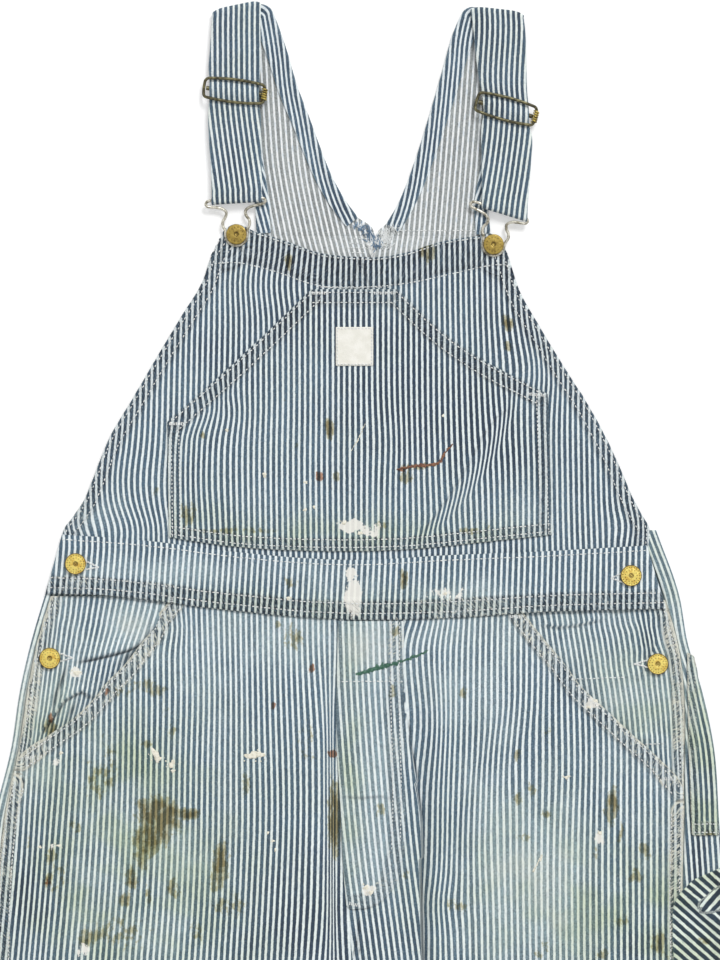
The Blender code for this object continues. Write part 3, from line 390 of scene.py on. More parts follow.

# ---------------------------------------------------------------- wear, stains and paint

# Broad soft areas: strength adds to the piece's own fade or soil, and a negative strength darkens. Two fade
# spots on the side facings are painted shade of soft folds.
FADE_AND_SHADE = by_piece(Spot, [
    ("front_leg_r", [(110, -190, 56, 60, 0.8), (14, -240, 40, 26, -0.6), (132, -102, 50, 34, -0.35),
        (66, -150, 26, 30, -0.25), (160, -240, 30, 24, 0.5), (206, -246, 40, 24, -0.7),
        (58, -190, 22, 70, -0.45), (60, -40, 26, 40, 0.35), (170, -110, 40, 30, 0.25),
        (140, -600, 90, 110, 0.3)]),
    ("front_leg_l", [(-153, -195, 26, 30, -0.3), (-242, -214, 24, 40, -0.8), (-45, -240, 66, 34, -0.7),
        (-60, -12, 44, 26, 0.6), (-240, -112, 20, 24, 0.5), (-22, -200, 26, 40, -0.35),
        (-66, -125, 34, 44, -0.3), (-152, -240, 26, 20, 0.4), (-188, -228, 28, 26, 0.4),
        (-130, -190, 50, 40, 0.35), (-160, -10, 30, 40, 0.35), (-190, -150, 60, 50, 0.2),
        (-50, -200, 30, 60, -0.3), (-130, -600, 90, 110, 0.3)]),
    ("bib_pocket", [(108, 72, 30, 26, 0.4), (-10, 62, 110, 22, 0.46), (-70, 120, 46, 36, 0.2),
        (90, 120, 40, 50, -0.3), (25, 152, 60, 46, -0.5), (0, 205, 60, 20, -0.4)]),
    ("bib", [(-192, 66, 30, 20, 0.5), (-140, 70, 40, 30, 0.25), (-145, 130, 24, 30, 0.15),
        (0, 250, 120, 16, -0.35)]),
    ("back_leg_l", [(-250, -90, 26, 90, 0.7)]),
    ("back_rise_l", [(-10, 266, 40, 8, 0.6)]),
    ("back_rise_r", [(30, 266, 24, 8, 0.5)]),
    ("fly_front", [(10, -24, 40, 30, 0.72), (10, -150, 40, 70, 0.45)]),
    ("waistband", [(40, 4, 130, 14, 0.35), (-60, 24, 80, 14, 0.4), (84, 12, 30, 18, 0.4),
        (-210, 24, 30, 12, 0.5), (-140, 28, 60, 12, 0.6)]),
    # The spot at (-192, -16) is painted shade of a soft fold
    ("side_facing_l", [(-168, -14, 34, 18, 0.9), (-192, -16, 9, 11, -0.7), (-222, -60, 30, 40, 0.4),
        (-186, -46, 10, 8, -0.4)]),
    # The spot at (211, -18) is painted shade of a soft fold beside the lower button
    ("side_facing_r", [(170, -40, 50, 60, 0.35), (196, -70, 36, 34, 0.4), (211, -18, 8, 18, -0.9)]),
    ("back_leg_r", [(246, -190, 10, 50, -1.0)]),
])
SOILED = by_piece(Spot, [
    ("front_leg_l", [(-170, -200, 90, 100, 0.8), (-175, -110, 40, 26, 0.5), (-120, -420, 120, 120, 0.5),
        (-150, -960, 120, 80, 0.7)]),
    ("front_leg_r", [(215, -240, 40, 40, 0.6), (160, -210, 110, 60, 0.55), (130, -420, 110, 130, 0.5),
        (150, -960, 120, 80, 0.7)]),
    ("back_leg_r", [(250, -190, 12, 60, -0.2)]),
    ("fly_front", [(-8, -110, 9, 90, 0.8)]),
    ("bib_pocket", [(-10, 52, 150, 14, 0.6), (-120, 70, 20, 22, 0.5)]),
    ("waistband", [(-40, 0, 190, 16, 0.5)]),
    ("side_facing_l", [(-226, -90, 26, 40, 0.6)]),
    ("side_facing_r", [(208, -74, 42, 46, 0.5)]),
])
OIL = by_piece(Spot, [
    ("bib", [(-52, 253, 3, 8, 0.8), (49, 259, 6, 7, 0.8), (108, 208, 4.5, 6.5, 0.75),
        (108, 190.5, 3, 4.5, 0.65), (-148, 85, 3, 3.5, 0.55)]),
    ("bib_pocket", [(-22.5, 131, 3.5, 9, 0.85, 0.1), (-114.5, 125, 2.2, 3, 0.7), (-55, 149, 2.2, 3, 0.5),
        (-46.5, 117.5, 2.2, 3, 0.5), (-17.5, 95, 3, 4.5, 0.7), (-125, 67, 6.5, 10, 0.58),
        (-88, 55.5, 33, 3, 0.52), (15, 58, 7, 6, 0.45), (80, 55.5, 22, 3.5, 0.45), (33, 95, 5, 7, 0.6),
        (42, 102.5, 13, 2.6, 0.75, 0.05)]),
    ("waistband", [(32, 21, 3, 9, 0.8), (-51, 17.5, 6, 4.5, 0.5)]),
    ("fly_front", [(26, -18, 3.5, 5, 0.6), (24, -61, 3, 6.5, 0.5), (15, -147, 3.5, 6, 0.6)]),
    ("front_leg_l", [(-48, -23, 6.5, 9.5, 0.58), (-60, -13, 2.2, 3.5, 0.7),
        (-153, -59, 15, 6.5, 0.52, -0.1), (-19, -155, 5, 28, 0.95), (-146, -152, 16, 14.5, 0.98),
        (-150, -163, 13, 12, 0.9), (-160, -182, 5, 9, 0.7, 0.2), (-190, -126, 14, 16, 0.42),
        (-222, -196, 10, 20, 0.4), (-176, -236, 22, 12, 0.44), (-126, -150, 10, 4.5, 0.9),
        (-155, -171, 9.5, 12, 0.8, 0.3), (-156, -145, 6, 7.5, 0.85), (-102, -188, 6, 20, 0.82, -0.12),
        (-172, -62, 9, 4, 0.42, 0.1), (-142, -72, 3.5, 7, 0.45), (-136.5, -91, 4, 8, 0.42),
        (-155, -99, 4, 3.5, 0.5), (-98, -217, 7.5, 7.5, 0.55), (-166, -198, 4.5, 9, 0.85, 0.2),
        (-171, -212, 4.5, 6.5, 0.75), (-154, -210, 2.2, 9, 0.6), (-136, -205, 5, 7.5, 0.6),
        (-83, -129, 3.5, 11, 0.55), (-198, -240, 7.5, 7.5, 0.75), (-226, -199, 5, 6.5, 0.6),
        (-182, -115, 6.5, 22, 0.45), (-225, -181, 4.5, 9, 0.6), (-241, -171, 3, 6, 0.6),
        (-88, -217, 6, 10, 0.45), (-40, -97, 6.5, 16, 0.4), (-182, -128, 4, 4, 0.7),
        (-206, -160, 5, 6, 0.5), (-170, -238, 12, 6, 0.55), (-120, -236, 6, 8, 0.45),
        (-90, -330, 8, 16, 0.7, 0.2), (-180, -420, 12, 9, 0.75), (-120, -520, 6, 20, 0.6, 0.1),
        (-70, -720, 9, 12, 0.65), (-190, -860, 10, 18, 0.6, 0.1), (-120, -985, 26, 8, 0.6)]),
    ("side_facing_l", [(-225, -88, 5, 7, 0.8)]),
    ("front_leg_r", [(75, -63, 3.5, 5, 0.6), (114.5, -107, 3, 6, 0.6), (136.5, -93, 3, 7.5, 0.55),
        (114.5, -139, 3.5, 4.5, 0.6), (125.5, -134, 3.5, 6.5, 0.6, 0.4), (136, -150, 4.5, 3, 0.6),
        (119, -167, 6, 3.5, 0.48), (208, -177, 5, 7.5, 0.65), (201, -196, 6, 6, 0.65),
        (71, -217, 10, 6, 0.5), (183, -144, 5, 13, 0.85, -0.1), (190, -163, 2.2, 10, 0.55, -0.2),
        (172, -179, 4.5, 6, 0.42), (33, -196, 3.5, 4.5, 0.55), (218, -246, 6, 12, 0.62, 0.2),
        (190, -228, 5, 5, 0.5), (176, -252, 8, 5, 0.5), (132, -250, 6, 7, 0.45), (110, -330, 7, 14, 0.6),
        (190, -450, 10, 14, 0.7, -0.2), (90, -590, 12, 8, 0.6), (160, -760, 6, 18, 0.6),
        (120, -930, 14, 9, 0.65, 0.2)]),
    ("rule_pocket", [(256, -165, 5, 3, 0.7)]),
    ("hammer_loop", [(250, -243, 6, 3, 0.6)]),
])
RUST = by_piece(Spot, [
    ("bib_pocket", [(-29, 95, 3, 3.6, 0.95), (31, 100, 3.6, 2.2, 0.8)]),
    ("front_leg_l", [(-35, -44.5, 2.2, 3, 0.85), (-63.5, -71.5, 2.2, 3.6, 0.65),
        (-19.7, -107, 3.6, 3, 0.98), (-184, -61, 2.6, 3.0, 0.6), (-226, -201, 3, 3, 0.6),
        (-60, -470, 3, 4, 0.8)]),
    ("side_facing_l", [(-225, -81, 2.2, 4.4, 0.65)]),
    ("front_leg_r", [(150, -520, 3, 5, 0.8)]),
])
PAINT = by_piece(Spot, [
    ("back_rise_l", [(11, 265.5, 5, 5.5, 0.55)]),
    ("back_rise_r", [(18, 267, 6, 4, 0.5)]),
    ("back_yoke_r", [(18, 274, 6, 3.5, 0.55)]),
    ("bib_pocket", [(-6, 59, 9.5, 4.5, 0.85), (9, 56, 7.5, 6, 0.55)]),
    ("waistband", [(-5, 7, 6, 13, 0.95), (-6, 23, 5, 7.5, 0.62), (62, 9, 16, 5, 0.45)]),
    ("side_facing_l", [(-207, -48, 4.4, 3.6, 0.9)]),
    ("front_leg_r", [(169, -69, 7.5, 4.5, 0.72, 0.3), (174, -167, 4, 6, 0.5, 0.3), (130, -410, 5, 3, 0.9),
        (200, -690, 7, 4, 0.85, 0.3)]),
    ("fly_front", [(6, -206, 5, 3.6, 0.85, 0.2)]),
    ("front_leg_l", [(-201, -250, 6, 5, 0.5), (-226, -174, 8, 3, 0.36), (-222, -112, 5, 4, 0.5, 0.5),
        (-150, -380, 6, 3, 0.9, 0.4), (-100, -640, 8, 4, 0.8)]),
])
CREAM_FLECKS = by_piece(Fleck, [
    ("bib_pocket", [(-97, 129, 1.2, 1.3), (-69.5, 96.5, 1.5, 1.9), (-39.5, 91, 1.6, 1.0),
        (-40, 71, 1.3, 1.3), (-33.5, 73, 1.0, 1.2), (60.5, 139.5, 0.9, 1.3), (-11.5, 61.5, 1.9, 1.2, 0.3),
        (0, 54, 1.8, 1.3)]),
    ("waistband", [(-52, 6.5, 1.8, 1.5), (62, 10, 1.5, 1.0)]),
    ("front_leg_l", [(-148.5, -107, 4.6, 2.3, 2.2), (-146.5, -110.5, 2.4, 1.6, 0.7),
        (-137, -114, 3.4, 1.9, 1.3), (-78.5, -107.5, 4.6, 2.6, 0.1), (-73, -107, 3.2, 2.2),
        (-67, -164, 1.0, 1.2), (-63.5, -170, 1.3, 1.0), (-136, -119, 1.6, 1.2, 0.5),
        (-61.5, -176.5, 0.9, 1.3)]),
    ("side_facing_l", [(-206.5, -48, 2.5, 1.9)]),
    ("front_leg_r", [(150.5, -123.5, 2.2, 1.2, 0.2), (174.5, -164, 1.8, 1.2),
        (131.5, -182.5, 0.7, 2.5, -0.3), (126.5, -190.5, 0.7, 1.9, -0.4)]),
    ("fly_front", [(4.5, -204.5, 2.3, 1.5, 0.5), (8, -208, 1.6, 1.9)]),
    ("front_leg_l", [(-217.5, -106, 1.5, 1.3), (-233, -174.5, 1.3, 1.0), (-219, -173.5, 2.2, 0.9)]),
    ("front_leg_r", [(171, -68, 2.5, 1.2, 0.4), (166.5, -72.5, 1.6, 1.0)]),
    ("front_leg_l", [(-120, -360, 2.0, 1.4, 0.2), (-190, -470, 1.6, 2.4), (-80, -610, 2.6, 1.5, 0.5),
        (-150, -800, 1.5, 1.8)]),
    ("front_leg_r", [(90, -370, 1.6, 1.2), (180, -540, 2.4, 1.6, 0.4), (120, -820, 1.8, 1.5)]),
])
# Ends of the buttonholes that show beside their buttons: the tip, and where both sides go under the button
SLITS = table(Slit,
    ("waistband", (-190.5, 29.2), (-199.5, 33.6), (-199.5, 27.7)),
    ("side_facing_l", (-209.5, -36.9), (-218.3, -33.9), (-218.3, -39.4)),
    ("waistband", (183.2, 21.2), (190.2, 24.8), (191.3, 18.3)),
    ("side_facing_r", (200.3, -41.5), (209.5, -38.7), (210.2, -43.8)))
TACKS = {
    "bib_pocket": [[(-35, 228.9), (-22.6, 228.9)], [(10.2, 228.9), (26.3, 228.9)],
                   [(-139, 133.6), (-127.8, 133.6)], [(122.6, 155.4), (134, 154.4)]],
    "waistband": [[(-137, 2.5), (-137, 7.5)]],
    "front_leg_l": [[(-244, -110.5), (-237, -108.5)], [(-139, -1), (-136.5, -7)]],
    "front_leg_r": [[(109, -6.6), (117, -7.2)], [(220, -124.8), (228, -125.5)]],
    "fly_front": [[(-8, -216), (0, -217.5)]],
}
# Broken yarns where the yoke is worn through above the bib, some still blue
FRAYS = table(Fray,
    (1, 277.5, 5, 3, 46, 0.85), (8, 271.5, 5, 5, 70, 0.8), (12.5, 266, 3.4, 4.6, 46, 0.75),
    (18.5, 268.5, 4.6, 6.4, 120, 0.0), (8.2, 263, 2.2, 5.6, 60, 0.0), (24, 274.5, 8, 2.6, 40, 0.0))
DARNS = [[(-7, 268.8), (7, 268.8)], [(-8, 265.4), (6, 265.4)], [(-9, 262), (5, 262)],
         [(-8, 258.6), (4, 258.6)]]
GREEN_STROKE = [(-2, -49), (9, -45.3), (21, -42), (31.5, -39), (41, -35.5), (49, -32)]
RUST_STROKE = [(27.5, 100.5), (40, 103), (51, 103.5), (57, 105), (63.5, 114.5), (68, 119)]
PALE_SCRATCH = [(3.5, 133), (-1.5, 122), (-6, 114.5)]
PALE_STREAK = [(126.5, -192), (129, -186), (131.5, -181)]

# ---------------------------------------------------------------- shape helpers


def smooth(t):
    """0 to 1 as t goes from 0 to 1, flat at both ends."""
    t = np.clip(t, 0.0, 1.0)
    return t * t * (3.0 - 2.0 * t)


def eased(value, start, end):
    """0 to 1 as the value goes from start to end, either way, flat at both ends."""
    return smooth((value - start) / (end - start))


def hermite(a, b, slope_a, slope_b, t):
    """From a to b as t goes from 0 to 1, leaving and arriving at the given slopes."""
    t2, t3 = t * t, t * t * t
    return ((2 * t3 - 3 * t2 + 1) * a + (t3 - 2 * t2 + t) * slope_a
            + (3 * t2 - 2 * t3) * b + (t3 - t2) * slope_b)


def read(rows, key, y):
    """A column of a table at height y, smooth between its rows."""
    heights = np.array([row.y for row in rows], float)
    values = np.array([getattr(row, key) for row in rows], float)
    order = np.argsort(heights)
    heights, values = heights[order], values[order]
    slopes = np.gradient(values, heights)
    k = np.clip(np.searchsorted(heights, y, side="right") - 1, 0, len(heights) - 2)
    step = heights[k + 1] - heights[k]
    t = np.clip((y - heights[k]) / step, 0.0, 1.0)
    return hermite(values[k], values[k + 1], slopes[k] * step, slopes[k + 1] * step, t)


def spans(points, axis=0):
    """Distance from each point to the next."""
    return np.linalg.norm(np.diff(points, axis=axis), axis=-1)


def follow(points, shares):
    """Points along a smooth line through the given ones, at given shares of its length."""
    pts = np.array(points, float)
    steps = spans(pts)
    along = np.concatenate(([0.0], np.cumsum(steps)))
    slopes = np.diff(pts, axis=0) / steps[:, None]
    tangents = np.vstack((slopes[:1], slopes[-1:])) if len(pts) == 2 else np.empty_like(pts)
    if len(pts) > 2:
        share = (steps[1:] / (steps[:-1] + steps[1:]))[:, None]
        tangents[0], tangents[-1] = slopes[0], slopes[-1]
        tangents[1:-1] = share * slopes[:-1] + (1 - share) * slopes[1:]
    at = shares * along[-1]
    k = np.clip(np.searchsorted(along, at, side="right") - 1, 0, len(steps) - 1)
    step = steps[k][:, None]
    t = (at[:, None] - along[k][:, None]) / step
    return hermite(pts[k], pts[k + 1], tangents[k] * step, tangents[k + 1] * step, t)


def reach(points):
    """Length of a line through points."""
    return float(spans(np.array(points, float)).sum())


def spaced(length, step, edge=(0.5, 1.3)):
    """Even shares of a length, with extra ones close to both ends, where cloth rolls over at its edge."""
    even = np.linspace(0.0, 1.0, max(2, round(length / step)) + 1)
    near = np.array(edge) / length
    return np.unique(np.round(np.concatenate((even, near, 1.0 - near)), 6))


def patch(bottom, top, left, right, u, v):
    """A four-sided sheet of points between four edge lines, rows from bottom to top."""
    u, v = u[None, :, None], v[:, None, None]
    rows = (1 - u) * left[:, None] + u * right[:, None]
    columns = (1 - v) * bottom[None] + v * top[None]
    corners = ((1 - u) * (1 - v) * bottom[0] + u * (1 - v) * bottom[-1]
               + (1 - u) * v * top[0] + u * v * top[-1])
    return rows + columns - corners


def sheet_between(left, right, step, bottom=None, top=None):
    """Rows of points between two side lines, and between a bottom and top line or straight across."""
    left, right = np.array(left, float), np.array(right, float)
    bottom = [left[0], right[0]] if bottom is None else bottom
    top = [left[-1], right[-1]] if top is None else top
    u = spaced(max(reach(bottom), reach(top)), step)
    v = spaced(max(reach(left), reach(right)), step)
    return patch(follow(bottom, u), follow(top, u), follow(left, v), follow(right, v), u, v)


def raised(flat, height):
    """Rows of x, y points with a height for each."""
    level = np.broadcast_to(height, flat.shape[:2])
    return np.concatenate((flat, level[..., None]), axis=2)


def leftward(pts):
    """A step of one to the left at each point of a line, as it runs."""
    heading = np.gradient(pts, axis=0)
    heading /= np.linalg.norm(heading, axis=1)[:, None]
    return np.stack((-heading[:, 1], heading[:, 0]), axis=1)


def inset(line, distance):
    """A line moved sideways, to its left as it runs."""
    pts = follow(line, np.linspace(0.0, 1.0, max(8, round(reach(line) / 4))))
    return pts + distance * leftward(pts)


def left_first(side, outer, inner):
    """An outer and an inner line on one side of the garment, with the left one first."""
    return (outer, inner) if side < 0 else (inner, outer)


def beside(line, x, y):
    """Distance from each point to a line, the run along it, and which side of it: left is 1, right is -1."""
    pts = np.array(line, float)
    least, along, side = np.full(x.shape, np.inf), np.zeros_like(x), np.ones_like(x)
    start = 0.0
    for (ax, ay), (bx, by) in zip(pts, pts[1:]):
        run = np.hypot(bx - ax, by - ay)
        t = np.clip(((x - ax) * (bx - ax) + (y - ay) * (by - ay)) / run ** 2, 0.0, 1.0)
        away = np.hypot(x - ax - t * (bx - ax), y - ay - t * (by - ay))
        near = away < least
        least = np.where(near, away, least)
        along = np.where(near, start + t * run, along)
        side = np.where(near, np.sign((bx - ax) * (y - ay) - (by - ay) * (x - ax)), side)
        start += run
    return least, along, side


def walked(points, axis):
    """Distance to each point of a sheet along its row, when the axis is 1, or up its column, when 0."""
    along = np.cumsum(spans(points, axis), axis=axis)
    return np.pad(along, ((0, 0), (1, 0)) if axis else ((1, 0), (0, 0)))


def rims(points, open_top=False):
    """Distance from each point of a sheet to its nearest edge, along its own rows and columns."""
    from_left, from_low = walked(points, 1), walked(points, 0)
    from_top = np.full_like(from_low, np.inf) if open_top else from_low[-1:] - from_low
    return np.minimum.reduce([from_left, from_left[:, -1:] - from_left, from_low, from_top])


def swell(x, y, size, seed):
    """Slow uneven waves of about one size, between about -1 and 1, the same each run."""
    chance = np.random.default_rng(seed)
    total = np.zeros_like(x)
    for heading, phase, stretch in zip(chance.uniform(0, math.pi, 9), chance.uniform(0, math.tau, 9),
                                       chance.uniform(0.7, 1.5, 9)):
        total += np.sin((x * math.cos(heading) + y * math.sin(heading)) * math.tau / (size * stretch) + phase)
    return total / 4.0


def waves(x, y, kind, seed):
    """Slow waves that stand on the cloth's level, of a given height and size."""
    height, size = kind
    return height * (1 + swell(x, y, size, seed))


def from_fold(fold, x, y):
    """Signed distance from a fold's bowed line, over its width on that side, and the share run along it."""
    run = np.array([fold.x1 - fold.x0, fold.y1 - fold.y0], float)
    length = np.linalg.norm(run)
    run /= length
    t = ((x - fold.x0) * run[0] + (y - fold.y0) * run[1]) / length
    inside = np.clip(t, 0.0, 1.0)
    away = (y - fold.y0) * run[0] - (x - fold.x0) * run[1] - 4 * fold.bow * inside * (1 - inside)
    return away, away / np.where(away < 0, fold.left, fold.right), t, length


def fold_height(folds, x, y):
    """Summed height of soft ridges, each along its own bowed line and dying out at its ends.

    A fold's left and right are its widths on either side, as seen where it runs down the garment."""
    total = np.zeros_like(x)
    for fold in folds:
        _, beyond, t, length = from_fold(fold, x, y)
        inside = np.clip(t, 0.0, 1.0)
        past = np.abs(t - inside) * length / max(fold.left, fold.right)
        total += fold.height * (1 - smooth(np.hypot(beyond, past))) * (0.25 + 0.75 * np.sin(math.pi * inside))
    return total


def lapped(laps, x, y):
    """Height added by laps, how far they shift the stripes above them, and the painted shade line under each.
    """
    height, shift, dark = np.zeros_like(x), np.zeros_like(x), np.zeros_like(x)
    for lap in laps:
        away, along, side = beside(lap.line, x, y)
        length = reach(lap.line)
        ends = smooth(along / LAP_ENDS) * smooth((length - along) / LAP_ENDS) * 0.8 + 0.2
        beyond = np.where((along <= 0) | (along >= length), np.maximum(away - 1, 0), 0)
        ends = ends * (1 - smooth(beyond / LAP_FADE))
        over = np.where(side > 0, 1 - smooth(away / lap.back), 1 - smooth(away / LAP_DROP))
        height = np.maximum(height, lap.height * over * ends)
        shift += lap.shift * np.where(side > 0, 1 - eased(away, *LAP_SHIFT), 0) * ends
        # Painted shade: a dark line just past the drop at the lap's edge
        low = np.where(side > 0, away + 1.2, away - 1.0)
        dark = np.maximum(dark, lap.dark * np.exp(-(low / lap.spread) ** 2) * ends)
    return height, shift, dark


def gathered(folds, x, y):
    """How far folds pull the stripes on both sides in towards their lines."""
    total = np.zeros_like(x)
    for fold in folds:
        away, beyond, t, _ = from_fold(fold, x, y)
        pull = -np.sin(np.clip(beyond, -1, 1) * math.pi / 2)
        fading = np.exp(-np.maximum(np.abs(away) - max(fold.left, fold.right), 0) / GATHER_REACH)
        ends = smooth((t + 0.2) / 0.45) * smooth((1.2 - t) / 0.45)
        total += 0.5 * fold.gather * pull * fading * ends
    return total


def puff_height(rows, x, y):
    """The slack of a leg: up from its inner line, level, and down again to its outer line."""
    inner, outer = read(rows, "inner", y), read(rows, "outer", y)
    side = np.sign(outer - inner)
    rise = smooth((x - inner) * side / read(rows, "rise", y))
    fall = smooth((outer - x) * side / read(rows, "fall", y))
    return np.maximum(read(rows, "height", y), 0.0) * rise * fall


def weave(points, pitch, drifts=(), folds=(), tugs=(), start=0.0, laps=()):
    """Each point's place in the cloth, in stripes across and along.

    The stripes stray as the piece lies, bunch up at its folds, and follow where it is tugged."""
    x, y = points[..., 0], points[..., 1]
    stray = gathered(folds, x, y) + lapped(laps, x, y)[1]
    if drifts:
        share = (x - x[:, :1]) / (x[:, -1:] - x[:, :1])
        left, middle, right = (read(drifts, key, y) for key in ("left", "middle", "right"))
        stray = stray + (left * (1 - share) * (1 - 2 * share) + middle * 4 * share * (1 - share)
                         + right * share * (2 * share - 1))
    for tug in tugs:
        stray = stray + tug.shift * np.exp(-((x - tug.x) / tug.wide) ** 2 - ((y - tug.y) / tug.tall) ** 2)
    return np.stack(((x - stray) / pitch + start, y / pitch), axis=-1)


def weave_along(points, pitch, from_right=False, lean=0.0):
    """Stripes that run along a strip, counted in from one of its long edges."""
    across, along = walked(points, 1), walked(points, 0)
    if from_right:
        across = across[:, -1:] - across
    return np.stack(((across + lean * along) / pitch, along / pitch), axis=-1)


def spot_distance(spot, x, y):
    """Distance from a spot's middle, in its own half sizes."""
    c, s = math.cos(spot.turn), math.sin(spot.turn)
    along, across = (x - spot.x) * c + (y - spot.y) * s, (y - spot.y) * c - (x - spot.x) * s
    return np.hypot(along / spot.wide, across / spot.tall)


def areas(spots, node, x, y):
    """Broad soft areas, added together."""
    total = np.zeros_like(x)
    for spot in spots:
        if spot.piece == node:
            total += spot.strength * np.exp(-spot_distance(spot, x, y) ** 2)
    return total


def stains(spots, node, x, y):
    """The strongest stain at each point: whole in its middle, and gone at one and a half times its size."""
    total = np.zeros_like(x)
    for spot in spots:
        if spot.piece == node:
            total = np.maximum(total, spot.strength * np.clip(1.5 - spot_distance(spot, x, y), 0, 1))
    return total


# ---------------------------------------------------------------- materials

def tint(red, green, blue):
    """A colour given in the 255 steps of a colour chart."""
    return tuple(((c / 255 + 0.055) / 1.055) ** 2.4 for c in (red, green, blue))


class Shader:
    """Short ways to add and join the nodes of one material."""

    def __init__(self, name):
        self.material = bpy.data.materials.new(name)
        self.material.use_nodes = True
        self.tree = self.material.node_tree
        self.surface = self.tree.nodes["Principled BSDF"]

    def feed(self, socket, value):
        if isinstance(value, bpy.types.NodeSocket):
            self.tree.links.new(value, socket)
        elif socket.type == "RGBA":
            socket.default_value = (*value, 1.0)
        else:
            socket.default_value = value

    def node(self, kind, inputs, **settings):
        node = self.tree.nodes.new("ShaderNode" + kind)
        for key, value in settings.items():
            setattr(node, key, value)
        for key, value in inputs.items():
            self.feed(node.inputs[key], value)
        return node

    def math(self, operation, *values):
        return self.node("Math", dict(enumerate(values)), operation=operation).outputs[0]

    def scaled(self, value, by, plus):
        return self.math("MULTIPLY_ADD", value, by, plus)

    def add(self, a, b):
        return self.math("ADD", a, b)

    def times(self, a, b):
        return self.math("MULTIPLY", a, b)

    def ramp(self, value, low, high, start=0.0, end=1.0):
        """From start to end as the value goes from low to high, easing at both."""
        inputs = {"Value": value, "From Min": low, "From Max": high, "To Min": start, "To Max": end}
        return self.node("MapRange", inputs, interpolation_type="SMOOTHSTEP").outputs[0]

    def mix(self, share, a, b, how="MIX"):
        node = self.node("Mix", {0: share, 6: a, 7: b}, data_type="RGBA", blend_type=how)
        return node.outputs[2]

    def noise(self, where, scale, detail=2.0, roughness=0.5):
        """Noise with its own scale along each axis."""
        spread = self.node("VectorMath", {0: where, 1: scale}, operation="MULTIPLY").outputs[0]
        return self.node("TexNoise", {"Vector": spread, "Scale": 1.0, "Detail": detail,
                                      "Roughness": roughness}).outputs["Fac"]

    def chance(self, value):
        """A different number from 0 to 1 for each whole number."""
        whole = self.math("FLOOR", value)
        return self.node("TexWhiteNoise", {"W": whole}, noise_dimensions="1D").outputs["Value"]

    def channels(self, name):
        """The three numbers stored on a piece under one name."""
        colour = self.node("Attribute", {}, attribute_name=name).outputs["Color"]
        return self.node("SeparateColor", {"Color": colour}).outputs

    def place(self):
        return self.node("TexCoord", {}).outputs["Object"]

    def finish(self, colour, roughness, height, depth=1.0, metallic=0.0, sheen=0.0):
        """Colour and roughness, and a bump whose height is in millimetres."""
        self.feed(self.surface.inputs["Base Color"], colour)
        self.feed(self.surface.inputs["Roughness"], roughness)
        self.surface.inputs["Metallic"].default_value = metallic
        self.surface.inputs["Sheen Weight"].default_value = sheen
        bump = self.node("Bump", {"Height": height, "Strength": depth, "Distance": MM})
        self.feed(self.surface.inputs["Normal"], bump.outputs["Normal"])
        return self.material


